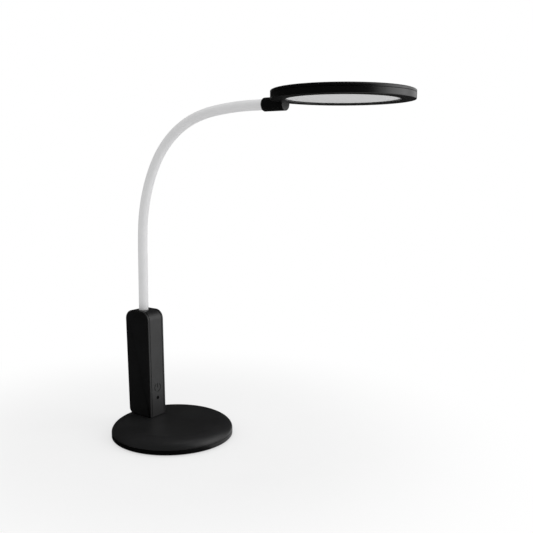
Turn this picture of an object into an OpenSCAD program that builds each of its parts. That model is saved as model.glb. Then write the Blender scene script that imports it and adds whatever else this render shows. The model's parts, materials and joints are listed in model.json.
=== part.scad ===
// Gooseneck desk lamp: weighted round base, upright column, flexible neck and flat round light head.
// Millimetres. The origin is the centre of the base on the table, +X points from column to head, +Z is up.

/* [Base] */
// Diameter of the round base
base_d = 182; // [162:1:220]
// Height of the base above the table
base_h = 22; // [20:0.5:28]
// Height of the seam between the base cover and its tray
base_seam_z = 8; // [7:0.5:10]
// How far the rounded rim runs in over the top of the base
base_rim_run = 24; // [12:0.5:26]
// Wall of the base cover
base_wall = 2.4; // [1.8:0.1:3]
// Thickness of the non-slip foot pad
pad_t = 1.2; // [0.8:0.1:2]
// Distance from the edge of the base in to the iron ballast disc
ballast_inset = 14; // [13.5:0.5:30]
// Thickness of the iron ballast disc
ballast_t = 9; // [6:0.5:10]

/* [Column] */
// Distance from the back edge of the base to the middle of the column's foot
column_inset = 39; // [34:0.5:46]
// Depth of the column at its foot, front to back
column_depth = 45.5; // [43.5:0.5:50]
// Width of the column, side to side
column_w = 34; // [32:0.5:42]
// Height of the column top above the table
column_top = 186; // [176:1:215]
// Lean of the front face from upright, in degrees
front_lean = 1.2; // [0:0.1:1.5]
// Lean of the back face from upright, in degrees
back_lean = 1.9; // [0:0.1:2.5]
// Radius of the two top corners in side view
top_corner_r = 14; // [8:0.5:15]
// Radius of the lower back corner in side view
foot_corner_r = 9; // [4:0.5:10]
// Rounding along the outer edges of the side covers
edge_r = 1.8; // [0.8:0.1:2.4]
// Width of the middle band that carries the touch key
band_w = 25.4; // [24:0.2:27]
// Wall of the column housing
column_wall = 2.2; // [1.6:0.1:2.6]

/* [Touch key] */
// Height of the touch key above the table
key_z = 67; // [61:1:90]
// Outer diameter of the ring in the power symbol
key_d = 13.5; // [9:0.5:16]
// Line width of the power symbol
key_line = 1.2; // [0.8:0.1:1.8]
// Height of the indicator window above the table
window_z = 51; // [45:0.5:54]
// Diameter of the indicator window
window_d = 4.5; // [3:0.5:6]

/* [Neck] */
// Diameter of the silicone-covered neck
neck_d = 14.2; // [13.4:0.1:16]
// Wall of the silicone sleeve
sleeve_wall = 1.4; // [1:0.1:1.6]
// Distance from the column centre line at its foot back to the neck
neck_back = 5.2; // [3:0.1:7]
// Length of the upright lower stretch of the neck
neck_upright_l = 111; // [90:1:140]
// Length of the lower bend
lower_bend_l = 108; // [80:1:140]
// Angle of the lower bend, in degrees
lower_bend = 27; // [15:1:35]
// Length of the upper bend
upper_bend_l = 132; // [110:1:170]
// Angle of the upper bend, in degrees
upper_bend = 53; // [40:1:60]
// Length of the run-out into the head
runout_l = 98; // [80:1:130]
// Angle of the run-out, in degrees
runout_bend = 10; // [4:1:16]
// Gap between two sleeve segments, which lets the neck bend
link_gap = 2.2; // [1.9:0.1:3]
// Radius of the ball at the end of each core link
ball_r = 4.9; // [4.4:0.1:5]
// Running clearance round a ball in its cup
ball_clear = 0.1; // [0.05:0.01:0.15]
// Diameter of the wire channel through the core
wire_d = 4; // [2.4:0.1:4.6]

/* [Head] */
// Diameter of the light head
head_d = 177; // [150:1:220]
// Thickness of the light head
head_t = 12.8; // [11.4:0.1:15]
// Height of the top cover's rim above the seam
cover_rim_h = 2.5; // [2:0.1:2.8]
// How far the rounding runs in over the top of the head
head_round = 3.3; // [2:0.1:5]
// Wall of the head
head_wall = 1.8; // [1.4:0.1:2]
// Width of the bezel round the diffuser
bezel_w = 18.5; // [17.5:0.5:32]
// How far the diffuser lies above the bezel's lower face
lens_recess = 1.9; // [1.4:0.1:2.2]
// Number of light-emitting diodes round the light guide
led_count = 36; // [12:1:60]

/* [Barrel] */
// Diameter of the barrel that joins neck and head
barrel_d = 18; // [17:0.1:20]
// Length of the barrel
barrel_l = 34; // [32:0.5:44]
// How far the barrel reaches in under the head
barrel_reach = 4.9; // [4.6:0.1:9]
// How far the head's lower face lies above the barrel's axis
head_lift = 0.8; // [0:0.1:2]
// Rounding at the neck end of the barrel
barrel_round = 1.6; // [0.6:0.1:2]

/* [Fasteners and fits] */
// Diameter of the housing screws
screw_d = 3; // [2.5:0.1:3]
// Diameter of the stand screws
stand_screw_d = 4; // [3.5:0.1:4.2]
// Clearance between pieces that sit in each other
seat_clear = 0.2; // [0.1:0.02:0.25]
// Width of the seam groove between two housing pieces
seam_w = 0.4; // [0.3:0.05:0.5]

/* [Hidden] */
LINKS = 12;
link_ids = [for (k = [1:LINKS]) k];
$fn = 96;
EPS = 0.01;
// how far a cutting shape runs past the face that it cuts
CUT = 1;

// base
base_r = base_d / 2;
rim_rise = base_h - base_seam_z;
tray_floor_t = 2;
tray_floor_z = pad_t + tray_floor_t;
pad_inset = 5;
tray_chamfer = 0.8;
lip_h = 2;
lip_t = 2;
// radius of the cover's inside at a height above the seam
function cavity_r(h) = base_r - base_wall -
    (base_rim_run - base_wall) * (1 - sqrt(1 - pow(h / (rim_rise - base_wall), 2)));
lip_r = cavity_r(lip_h) - seat_clear;
ballast_r = base_r - ballast_inset;
ballast_z = tray_floor_z;
post_r = 3.4;
post_at = (ballast_r + lip_r - lip_t) / 2;
post_foot_h = 2;
post_foot_z = tray_floor_z + post_foot_h;
// ribs that keep the ballast in the middle of the tray
rib_count = 8;
rib_t = 1.6;
rib_h = 5;
ballast_chamfer = 1;
base_screw_count = 4;
base_screw_l = 9;

// housing screws
thread_clear = 0.05;
hex_share = 0.6;
screw_r = screw_d / 2;
screw_head_r = screw_d * 0.92;
screw_head_h = 2;
screw_hole_r = screw_r + seat_clear / 2;
recess_r = screw_head_r + seat_clear;

// column: x of the front and back faces at a height
column_x = -(base_r - column_inset);
function front_x(z) = column_x + column_depth / 2 - (z - base_h) * tan(front_lean);
function back_x(z) = column_x - column_depth / 2 - (z - base_h) * tan(back_lean);
foot_front_r = 1.2;
column_foot_z = base_h;
rib_reach = 3;
neck_hole_h = 2 * top_corner_r;
// bosses in which the side covers meet, below and above the board
boss_r = 3.4;
boss_gap = 0.4;
boss_z = [base_h + 11, column_top - 24];
function boss_x(z) = front_x(z) - column_wall * 2 - seat_clear - boss_r - boss_gap;
column_screw_sink = 0.4;
column_screw_y = column_w / 2 - screw_head_h - column_screw_sink;
column_screw_reach = 8;
thread_run = 2;

// stand inside the column
neck_x = column_x - neck_back;
stand_t = 1.6;
stand_depth = 18;
stand_w = 20;
flange_w = 46;
stand_z = ballast_z + ballast_t;
shelf_z = column_top - 34;
shelf_t = 2;
stand_screw_r = stand_screw_d / 2;
stand_screw_y = 18;
stand_screw_head_r = stand_screw_d * 0.9;
stand_screw_head_h = 2;
screw_tip_gap = 0.4;
stand_screw_l = ballast_t + stand_t - screw_tip_gap;
foot_slot_x = stand_depth + 2;
foot_slot_y = stand_w + 2;

// board
board_t = 1.6;
board_w = 19;
board_gap = 3.4;
board_x = neck_x + stand_depth / 2 + board_gap;
board_z = 40;
board_h = 62;
board_face_x = board_x + board_t;
board_screw_inset = 2.6;
board_screw_z = [board_z + board_screw_inset, board_z + board_h - board_screw_inset];
board_screw_r = 1;
board_screw_head_r = 1.9;
board_screw_head_h = 1.4;
board_screw_l = board_t + board_gap - 0.2;
board_hole_r = board_screw_r + 0.15;
standoff_r = 2.6;
// parts on the board: thickness, width and height
touch_chip = [1.8, 6, 6];
touch_chip_z = key_z + 9;
socket_block = [2.6, 4, 8];
socket_block_z = key_z + 20;
capacitor_r = 2.2;
capacitor_h = 5;
indicator_led = [1, 3, 3];

// touch key: a wire spring fills the room between the board and the inside of the band
symbol_depth = 0.5;
symbol_gap = 56;
symbol_bar = 0.46;
spring_turns = 3;
spring_wire_r = 0.4;
spring_ball_r = 0.47;
spring_foot_r = 2.6;
spring_cup_h = 1;
spring_pad_t = 0.5;
spring_pad_r = key_d / 2 - 1;
spring_l = front_x(key_z) - column_wall - seat_clear - spring_pad_t - board_face_x;

// indicator window
window_sink = 0.4;
window_clear = 0.05;
window_flange_w = 1;
window_flange_t = 1;
window_back = column_wall + seat_clear;
window_reach = front_x(window_z) - window_back - board_face_x - indicator_led[0] - seat_clear;

// power inlet
inlet_z = 40;
inlet_h = 11;
inlet_w = 9;
inlet_l = 11;
inlet_bore_r = 3.15;
inlet_pin_r = 1;
inlet_pin_setback = 1.2;
inlet_lip = 0.6;
inlet_end_t = 2;
inlet_flange_w = 1;
inlet_flange_t = 1.2;
inlet_flange_x = column_wall + 2 * seat_clear;
press_clear = 0.02;

// neck
sleeve_r = neck_d / 2;
core_clear = 0.05;
core_r = sleeve_r - sleeve_wall - core_clear;
cup_r = ball_r + ball_clear;
neck_l = neck_upright_l + lower_bend_l + upper_bend_l + runout_l;
link_l = neck_l / (LINKS + 1);
end_l = link_l / 2;
thread_r = 4.6;
thread_free_l = 3;
washer_t = 1;
nut_af = 13;
nut_h = 4.5;
thread_l = nut_h + washer_t + thread_free_l;
washer_r = stand_depth / 2 - stand_t - seat_clear;
root_flange_t = 2;

// lean of the neck from upright after a length s; the stub in front of the barrel is straight
function lean(s) =
    s < neck_upright_l ? 0 :
    s < neck_upright_l + lower_bend_l ? lower_bend * (s - neck_upright_l) / lower_bend_l :
    s < neck_l - runout_l ? lower_bend + upper_bend * (s - neck_upright_l - lower_bend_l) / upper_bend_l :
    lower_bend + upper_bend + runout_bend * min(1, (s - neck_l + runout_l) / (runout_l - end_l));
// end point of a bow of length l that starts at p with lean a and ends with lean b
function bow_end(p, a, b, l) =
    let (half = (b - a) / 2, chord = abs(half) < EPS ? l : l * sin(half) / (half * PI / 180))
    p + chord * [sin((a + b) / 2), cos((a + b) / 2)];
// joint k lies half a link above the column, and one link further for each next one
function joint_s(k) = end_l + (k - 1) * link_l;
function joint_at(k) =
    k == 1 ? bow_end([neck_x, column_top], 0, lean(end_l), end_l)
           : bow_end(joint_at(k - 1), lean(joint_s(k - 1)), lean(joint_s(k)), link_l);
tip_joint = joint_at(LINKS + 1);
tip_lean = lean(joint_s(LINKS + 1));
neck_end = bow_end(tip_joint, tip_lean, lean(neck_l), end_l);
head_tilt = lean(neck_l) - 90;

// head, in its own frame: origin at the neck's end, +X outward, +Z up
barrel_r = barrel_d / 2;
head_r = head_d / 2;
head_x = barrel_l - barrel_reach + head_r;
seam_z = head_t - cover_rim_h;
lens_r = head_r - bezel_w;
head_chamfer = 0.6;
bezel_chamfer = 0.5;
lens_seat = 2.5;
optic_r = lens_r + lens_seat;
diffuser_t = 2;
guide_t = 2.4;
reflector_t = 0.4;
sheet_gap = 0.1;
guide_z = lens_recess + diffuser_t + sheet_gap;
reflector_z = guide_z + guide_t + sheet_gap;
plate_z = reflector_z + reflector_t + sheet_gap;
plate_t = 1;
led_t = 0.8;
led_w = 2.8;
strip_t = 0.4;
led_r = optic_r + sheet_gap;
strip_r = led_r + led_t;
hoop_r = strip_r + strip_t + sheet_gap;
plate_hoop_t = 1.2;
head_screw_count = 6;
head_screw_at = hoop_r + plate_hoop_t + 3;
plate_r = head_screw_at + 3.2;
small_screw_r = 1.2;
small_head_r = 1.8 * small_screw_r;
small_hole_r = small_screw_r + seat_clear / 2;
head_screw_head_t = 0.9;
head_screw_l = head_t - plate_z - 1;
head_boss_r = 2.8;
cover_under_z = head_t - head_wall;
lip_top_z = lens_recess - sheet_gap;
lip_wall = 1.6;
cover_lip_r = head_r - head_wall - seat_clear;
cover_lip_z = seam_z - 2.4;
cover_skin = 0.8;
led_clear = 0.2;
led_back_gap = 0.05;
bracket_w = 16;
bracket_z = plate_z + plate_t;
bracket_t = 1.6;
tongue_l = 28;
leg_x = barrel_l + sheet_gap - head_x;
barrel_end_t = 6;
barrel_chamfer = 0.3;
sleeve_in_barrel = 14;
barrel_screw_y = 4.6;
barrel_screw_z = 5.2;
barrel_screw_head_t = 1;
barrel_thread_z = barrel_l - barrel_end_t + CUT;
barrel_screw_z1 = barrel_l + bracket_t + seat_clear;
barrel_screw_l = barrel_screw_z1 - barrel_thread_z - screw_tip_gap;

// ---------- outlines ----------
// arc of radius r about c from angle a0 to a1
function arc(c, r, a0, a1, n = 12) =
    [for (i = [0:n]) let (a = a0 + (a1 - a0) * i / n) c + r * [cos(a), sin(a)]];
// quarter ellipse from the side (x out, z low) to the top (x in, z high)
function rim_curve(r, top, run, rise, n = 12) =
    [for (i = [0:n]) let (a = 90 * i / n) [r - run * (1 - cos(a)), top - rise * (1 - sin(a))]];

// side view of the column, inset by e and cut square at the foot
function column_outline(e, foot = 0) =
    let (
        z0 = column_foot_z + foot, z1 = column_top - e,
        rt = top_corner_r - e, rb = max(0.8, foot_corner_r - e), rf = max(0.4, foot_front_r - e),
        cf = [front_x(z1 - rt) - e - rt, z1 - rt], cb = [back_x(z1 - rt) + e + rt, z1 - rt],
        db = [back_x(z0 + rb) + e + rb, z0 + rb], df = [front_x(z0 + rf) - e - rf, z0 + rf])
    concat(arc(cf, rt, -front_lean, 90), arc(cb, rt, 90, 180 - back_lean),
        arc(db, rb, 180 - back_lean, 270, 8), arc(df, rf, 270, 360 - front_lean, 4));

// solid of the column outline between two widths
module column_slab(e, y0, y1, foot = 0)
    translate([0, y1, 0]) rotate([90, 0, 0]) linear_extrude(y1 - y0) polygon(column_outline(e, foot));

// socket-head screw: head above its seat at z = 0, shank of length l below
module screw(r, l, head_r, head_h) {
    translate([0, 0, -l]) cylinder(r = r, h = l + EPS);
    difference() {
        cylinder(r = head_r, h = head_h);
        translate([0, 0, head_h / 2]) cylinder(r = r * hex_share, h = head_h, $fn = 6);
    }
}

// ---------- neck ----------
// round bar of radius r along a bow of length l and angle bend, kept from s0 to s1
module bow(r, s0, s1, l, bend) {
    if (abs(bend) < 0.05) translate([0, 0, s0]) cylinder(r = r, h = s1 - s0);
    else {
        bow_r = l / (bend * PI / 180);
        translate([bow_r, 0, 0]) rotate([90, 0, 0]) rotate([0, 0, 180 - bend * s1 / l])
            rotate_extrude(angle = bend * (s1 - s0) / l) translate([bow_r, 0]) circle(r = r);
    }
}
// places children at the far end of a bow of length l and angle bend
module at_bow_end(l, bend) {
    tip = bow_end([0, 0], 0, bend, l);
    translate([tip[0], 0, tip[1]]) rotate([0, bend, 0]) children();
}
module at_link(k) {
    p = joint_at(k);
    translate([p[0], 0, p[1]]) rotate([0, lean(joint_s(k)), 0]) children();
}
module link_core(k) {
    bend = lean(joint_s(k + 1)) - lean(joint_s(k));
    color("silver") at_link(k) difference() {
        union() {
            bow(core_r, link_gap / 2, link_l - link_gap / 2, link_l, bend);
            at_bow_end(link_l, bend) sphere(r = ball_r);
        }
        sphere(r = cup_r);
        bow(wire_d / 2, 0, link_l + ball_r + CUT, link_l, bend);
    }
}
module link_sleeve(k) {
    bend = lean(joint_s(k + 1)) - lean(joint_s(k));
    color("gainsboro") at_link(k) difference() {
        bow(sleeve_r, link_gap / 2, link_l - link_gap / 2, link_l, bend);
        bow(sleeve_r - sleeve_wall, 0, link_l, link_l, bend);
    }
}
module neck_root() {
    bend = lean(end_l);
    color("silver") difference() {
        union() {
            translate([neck_x, 0, shelf_z - thread_l])
                cylinder(r = thread_r, h = thread_l + shelf_t + EPS);
            translate([neck_x, 0, shelf_z + shelf_t]) cylinder(r = sleeve_r, h = root_flange_t);
            translate([neck_x, 0, shelf_z + shelf_t])
                cylinder(r = core_r, h = column_top - shelf_z - shelf_t + end_l - link_gap / 2);
            translate([neck_x, 0, column_top + end_l]) sphere(r = ball_r);
        }
        translate([neck_x, 0, shelf_z - thread_l - CUT])
            cylinder(r = wire_d / 2, h = column_top - shelf_z + end_l + thread_l + 2 * ball_r);
    }
}
module neck_sleeve_root() color("gainsboro") translate([neck_x, 0, shelf_z + shelf_t + root_flange_t])
    difference() {
        cylinder(r = sleeve_r, h = column_top + end_l - link_gap / 2 - shelf_z - shelf_t - root_flange_t);
        translate([0, 0, -CUT]) cylinder(r = sleeve_r - sleeve_wall, h = neck_l);
    }
module neck_washer() color("silver") translate([neck_x, 0, shelf_z - washer_t]) difference() {
    cylinder(r = washer_r, h = washer_t);
    translate([0, 0, -CUT]) cylinder(r = thread_r + seat_clear, h = washer_t + 2 * CUT);
}
module neck_nut() color("silver") translate([neck_x, 0, shelf_z - washer_t - nut_h]) difference() {
    rotate([0, 0, 30]) cylinder(r = nut_af / 2 / cos(30), h = nut_h, $fn = 6);
    translate([0, 0, -CUT]) cylinder(r = thread_r + thread_clear, h = nut_h + 2 * CUT);
}
module neck_tip() color("silver") at_link(LINKS + 1) difference() {
    translate([0, 0, link_gap / 2])
        cylinder(r = core_r, h = end_l + barrel_l - barrel_end_t - seat_clear - link_gap / 2);
    sphere(r = cup_r);
    cylinder(r = wire_d / 2, h = end_l + barrel_l);
}
module neck_sleeve_tip() color("gainsboro") at_link(LINKS + 1) difference() {
    translate([0, 0, link_gap / 2]) cylinder(r = sleeve_r, h = end_l + sleeve_in_barrel - link_gap / 2);
    cylinder(r = sleeve_r - sleeve_wall, h = end_l + barrel_l);
}

// ---------- base ----------
module base_profile(inset, foot_z)
    polygon(concat([[0, foot_z], [base_r - inset, foot_z]],
        rim_curve(base_r - inset, base_h - inset, base_rim_run - inset, rim_rise - inset),
        [[0, base_h - inset]]));
module around(count, at, turn = 0)
    for (i = [0:count - 1]) rotate([0, 0, turn + i * 360 / count]) translate([at, 0, 0]) children();

module base_cover() color("#1b1b1c") difference() {
    union() {
        difference() {
            rotate_extrude() base_profile(0, base_seam_z + seam_w / 2);
            rotate_extrude() base_profile(base_wall, base_seam_z - CUT);
        }
        intersection() {
            around(base_screw_count, post_at, 45)
                translate([0, 0, post_foot_z]) cylinder(r = post_r, h = base_h - post_foot_z);
            rotate_extrude() base_profile(base_wall / 2, pad_t);
        }
    }
    around(base_screw_count, post_at, 45) translate([0, 0, post_foot_z - CUT])
        cylinder(r = screw_r + thread_clear, h = base_screw_l);
    translate([neck_x - foot_slot_x / 2, -foot_slot_y / 2, base_seam_z])
        cube([foot_slot_x, foot_slot_y, base_h]);
}
module base_tray() color("#1b1b1c") difference() {
    union() {
        rotate_extrude() polygon([[0, pad_t], [base_r - tray_chamfer, pad_t], [base_r, pad_t + tray_chamfer],
            [base_r, base_seam_z - seam_w / 2], [lip_r, base_seam_z - seam_w / 2],
            [lip_r, base_seam_z + lip_h], [lip_r - lip_t, base_seam_z + lip_h],
            [lip_r - lip_t, tray_floor_z], [0, tray_floor_z]]);
        around(base_screw_count, post_at, 45)
            translate([0, 0, pad_t]) cylinder(r = post_r, h = post_foot_z - pad_t);
        around(rib_count, ballast_r + seat_clear, 22.5) translate([0, -rib_t / 2, tray_floor_z - EPS])
            cube([lip_r - lip_t / 2 - ballast_r - seat_clear, rib_t, rib_h]);
    }
    around(base_screw_count, post_at, 45) {
        translate([0, 0, pad_t - CUT]) cylinder(r = recess_r, h = screw_head_h + seat_clear + CUT);
        translate([0, 0, pad_t]) cylinder(r = screw_hole_r, h = base_h);
    }
}
module base_screws() color("silver") around(base_screw_count, post_at, 45)
    translate([0, 0, pad_t + seat_clear + screw_head_h]) rotate([180, 0, 0])
        screw(screw_r, base_screw_l, screw_head_r, screw_head_h);
module ballast() color("#3a3a3c") difference() {
    translate([0, 0, ballast_z]) rotate_extrude() polygon([[0, 0], [ballast_r - ballast_chamfer, 0],
        [ballast_r, ballast_chamfer], [ballast_r, ballast_t - ballast_chamfer],
        [ballast_r - ballast_chamfer, ballast_t], [0, ballast_t]]);
    for (s = [-1, 1]) translate([neck_x, s * stand_screw_y, ballast_z - CUT])
        cylinder(r = stand_screw_r + thread_clear, h = ballast_t + 2 * CUT);
}
module foot_pad() color("#101010") cylinder(r = base_r - pad_inset, h = pad_t);

// ---------- stand ----------
module stand() color("lightslategray") difference() {
    union() {
        // flange on the ballast
        translate([neck_x - stand_depth / 2, -flange_w / 2, stand_z]) cube([stand_depth, flange_w, stand_t]);
        // channel, open to the back
        difference() {
            translate([neck_x - stand_depth / 2, -stand_w / 2, stand_z])
                cube([stand_depth, stand_w, shelf_z + shelf_t - stand_z]);
            translate([neck_x - stand_depth / 2 - stand_t, -stand_w / 2 + stand_t, stand_z + stand_t])
                cube([stand_depth, stand_w - 2 * stand_t, shelf_z - stand_z - stand_t]);
        }
        // stand-offs for the board
        for (z = board_screw_z) translate([neck_x + stand_depth / 2 - EPS, 0, z]) rotate([0, 90, 0])
            cylinder(r = standoff_r, h = board_gap + EPS);
    }
    for (s = [-1, 1]) translate([neck_x, s * stand_screw_y, stand_z - CUT])
        cylinder(r = stand_screw_r + seat_clear / 2, h = stand_t + 2 * CUT);
    translate([neck_x, 0, shelf_z - CUT]) cylinder(r = thread_r + seat_clear / 2, h = shelf_t + 2 * CUT);
    for (z = board_screw_z) translate([neck_x, 0, z]) rotate([0, 90, 0])
        cylinder(r = board_screw_r + thread_clear, h = stand_depth);
}
module stand_screws() color("silver") for (s = [-1, 1])
    translate([neck_x, s * stand_screw_y, stand_z + stand_t])
        screw(stand_screw_r, stand_screw_l, stand_screw_head_r, stand_screw_head_h);

// ---------- column ----------
module power_symbol(depth)
    translate([front_x(key_z), 0, key_z]) rotate([0, -front_lean, 0]) rotate([90, 0, 90])
        translate([0, 0, -depth]) linear_extrude(depth + CUT) {
            difference() {
                circle(d = key_d);
                circle(d = key_d - 2 * key_line);
                rotate(90) polygon(concat([[0, 0]], arc([0, 0], key_d, -symbol_gap / 2, symbol_gap / 2, 2)));
            }
            translate([-key_line / 2, 0]) square([key_line, key_d * symbol_bar]);
        }
module column_band() color("#2a2a2b") difference() {
    column_slab(0, -band_w / 2 + seam_w / 2, band_w / 2 - seam_w / 2);
    column_slab(column_wall, -band_w, band_w);
    translate([neck_x, 0, column_top - neck_hole_h / 2]) cylinder(r = sleeve_r + seat_clear, h = neck_hole_h);
    power_symbol(symbol_depth);
    translate([front_x(window_z) - column_wall - CUT, 0, window_z]) rotate([0, 90, 0])
        cylinder(r = window_d / 2, h = column_wall + 2 * CUT);
    translate([back_x(inlet_z) - CUT, -inlet_w / 2, inlet_z - inlet_h / 2])
        cube([column_wall + 3 * CUT, inlet_w, inlet_h]);
    translate([neck_x - foot_slot_x / 2, -foot_slot_y / 2, base_h - CUT])
        cube([foot_slot_x, foot_slot_y, column_wall + 2 * CUT]);
}
// cover on the +Y side: a plate with rounded edges, a pocket, a rib that fits in the band, and two bosses
module side_cover() {
    inner_y = band_w / 2 + seam_w / 2;
    rib_y = band_w / 2 - rib_reach;
    difference() {
        union() {
            hull() for (i = [0:3]) let (a = 30 * i)
                column_slab(edge_r * (1 - cos(a)), column_w / 2 - edge_r * (1 - sin(a)) - EPS,
                    column_w / 2 - edge_r * (1 - sin(a)));
            column_slab(0, inner_y, column_w / 2 - edge_r);
            column_slab(column_wall + seat_clear, rib_y, inner_y + EPS);
        }
        column_slab(column_wall * 2, rib_y - CUT, column_w / 2 - column_wall);
    }
    for (z = boss_z) translate([boss_x(z), 0, z]) rotate([-90, 0, 0])
        translate([0, 0, seat_clear / 2]) cylinder(r = boss_r, h = column_w / 2 - column_wall);
}
module at_boss() for (z = boss_z) translate([boss_x(z), 0, z]) rotate([-90, 0, 0]) children();
module column_cover_left() color("#161617") difference() {
    side_cover();
    at_boss() cylinder(r = screw_hole_r, h = column_w);
    at_boss() translate([0, 0, column_screw_y]) cylinder(r = recess_r, h = column_w);
}
module column_cover_right() color("#161617") difference() {
    mirror([0, 1, 0]) side_cover();
    at_boss() translate([0, 0, -column_screw_reach - thread_run])
        cylinder(r = screw_r + thread_clear, h = column_screw_reach + thread_run + CUT);
}
module column_screws() color("silver") at_boss() translate([0, 0, column_screw_y])
    screw(screw_r, column_screw_y + column_screw_reach, screw_head_r, screw_head_h);
module indicator_window() color("#050505") translate([front_x(window_z), 0, window_z]) rotate([0, -90, 0]) {
    translate([0, 0, window_sink])
        cylinder(r = window_d / 2 - window_clear, h = window_back - window_sink + EPS);
    translate([0, 0, window_back]) cylinder(r = window_d / 2 + window_flange_w, h = window_flange_t);
    translate([0, 0, window_back]) cylinder(r = window_d / 4, h = window_reach);
}
module control_board() color("#1f5130") difference() {
    translate([board_x, -board_w / 2, board_z]) cube([board_t, board_w, board_h]);
    for (z = board_screw_z) translate([board_x - CUT, 0, z]) rotate([0, 90, 0])
        cylinder(r = board_hole_r, h = board_t + 2 * CUT);
}
module board_parts() color("#202024") {
    translate([board_face_x, -touch_chip[1] / 2, touch_chip_z]) cube(touch_chip);
    translate([board_face_x, -board_w / 2 + 2.5, socket_block_z]) cube(socket_block);
    translate([board_face_x, board_w / 2 - 6.5, socket_block_z]) rotate([0, 90, 0])
        cylinder(r = capacitor_r, h = capacitor_h);
    translate([board_face_x, -indicator_led[1] / 2, window_z - indicator_led[2] / 2]) cube(indicator_led);
}
// half turns of a conical coil: half rings, each tilted from the end of the last, with a ball at each end
module coil(r0, r1, l, turns, wire_r, ball_r) {
    halves = 2 * turns;
    rise = l / halves;
    for (i = [0:halves - 1]) {
        side = i % 2 == 0 ? 1 : -1;
        near = r0 + (r1 - r0) * i / halves;
        far = r0 + (r1 - r0) * (i + 1) / halves;
        start = [side * near, 0, i * rise];
        span = [-side * (near + far), 0, rise];
        translate(start + span / 2) rotate([0, side * atan(rise / (near + far)), 0])
            rotate([0, 0, side > 0 ? 0 : 180]) rotate_extrude(angle = 180)
                translate([norm(span) / 2, 0]) circle(r = wire_r);
        translate(start + span) sphere(r = ball_r);
    }
}
module touch_spring() color("goldenrod") translate([board_face_x, 0, key_z]) rotate([0, 90, 0]) {
    cylinder(r = spring_foot_r + spring_wire_r, h = spring_cup_h);
    translate([0, 0, spring_cup_h]) coil(spring_foot_r, spring_pad_r - 2 * spring_wire_r,
        spring_l - spring_cup_h, spring_turns, spring_wire_r, spring_ball_r);
    translate([0, 0, spring_l]) cylinder(r = spring_pad_r, h = spring_pad_t);
}
module board_screws() color("silver") for (z = board_screw_z)
    translate([board_face_x, 0, z]) rotate([0, 90, 0])
        screw(board_screw_r, board_screw_l, board_screw_head_r, board_screw_head_h);
module at_inlet() translate([back_x(inlet_z), 0, inlet_z]) rotate([0, 90, 0]) children();
module power_inlet() color("#0d0d0d") at_inlet() difference() {
    union() {
        translate([-inlet_h / 2 + seat_clear / 2, -inlet_w / 2 + seat_clear / 2, inlet_lip])
            cube([inlet_h - seat_clear, inlet_w - seat_clear, inlet_l - inlet_lip]);
        translate([-inlet_h / 2 - inlet_flange_w, -inlet_w / 2 - inlet_flange_w, inlet_flange_x])
            cube([inlet_h + 2 * inlet_flange_w, inlet_w + 2 * inlet_flange_w, inlet_flange_t]);
    }
    translate([0, 0, -inlet_end_t]) cylinder(r = inlet_bore_r, h = inlet_l);
    cylinder(r = inlet_pin_r, h = inlet_l + CUT);
}
module inlet_pin() color("goldenrod") at_inlet() translate([0, 0, inlet_lip + inlet_pin_setback])
    cylinder(r = inlet_pin_r - press_clear, h = inlet_l - inlet_lip);

// ---------- head ----------
module at_neck_end() translate([neck_end[0], 0, neck_end[1]]) rotate([0, head_tilt, 0]) children();
module at_head() at_neck_end() translate([head_x, 0, head_lift]) children();
module barrel_space(extra) translate([-head_x, 0, -head_lift]) rotate([0, 90, 0])
    cylinder(r = barrel_r + extra, h = barrel_l + extra);

module barrel() color("#161617") at_neck_end() rotate([0, 90, 0]) difference() {
    rotate_extrude() polygon(concat([[0, 0]],
        arc([barrel_r - barrel_round, barrel_round], barrel_round, -90, 0, 6),
        [[barrel_r, barrel_l - barrel_chamfer], [barrel_r - barrel_chamfer, barrel_l], [0, barrel_l]]));
    translate([0, 0, -CUT]) cylinder(r = sleeve_r + seat_clear / 2, h = sleeve_in_barrel + CUT + seat_clear);
    cylinder(r = core_r + seat_clear / 2, h = barrel_l - barrel_end_t);
    for (s = [-1, 1]) translate([-barrel_screw_z, s * barrel_screw_y, barrel_thread_z])
        cylinder(r = small_screw_r + thread_clear, h = barrel_end_t);
}
module barrel_screws() color("silver") at_neck_end() rotate([0, 90, 0])
    for (s = [-1, 1]) translate([-barrel_screw_z, s * barrel_screw_y, barrel_screw_z1])
        screw(small_screw_r, barrel_screw_l, small_head_r, barrel_screw_head_t);
module head_bracket() color("lightslategray") at_head() difference() {
    union() {
        translate([leg_x, -bracket_w / 2, lens_recess + sheet_gap])
            cube([bracket_t, bracket_w, bracket_z + bracket_t - lens_recess - sheet_gap]);
        translate([leg_x, -bracket_w / 2, bracket_z])
            cube([tongue_l, bracket_w, bracket_t]);
    }
    for (s = [-1, 1]) translate([leg_x - CUT, s * barrel_screw_y, barrel_screw_z - head_lift])
        rotate([0, 90, 0]) cylinder(r = small_hole_r, h = bracket_t + 2 * CUT);
}
module head_rim() color("#161617") at_head() difference() {
    rotate_extrude() polygon([[lens_r + bezel_chamfer, 0], [head_r - head_chamfer, 0], [head_r, head_chamfer],
        [head_r, seam_z - seam_w / 2], [head_r - head_wall, seam_z - seam_w / 2],
        [head_r - head_wall, lip_top_z], [lens_r, lip_top_z], [lens_r, bezel_chamfer]]);
    barrel_space(seat_clear / 2);
}
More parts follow.
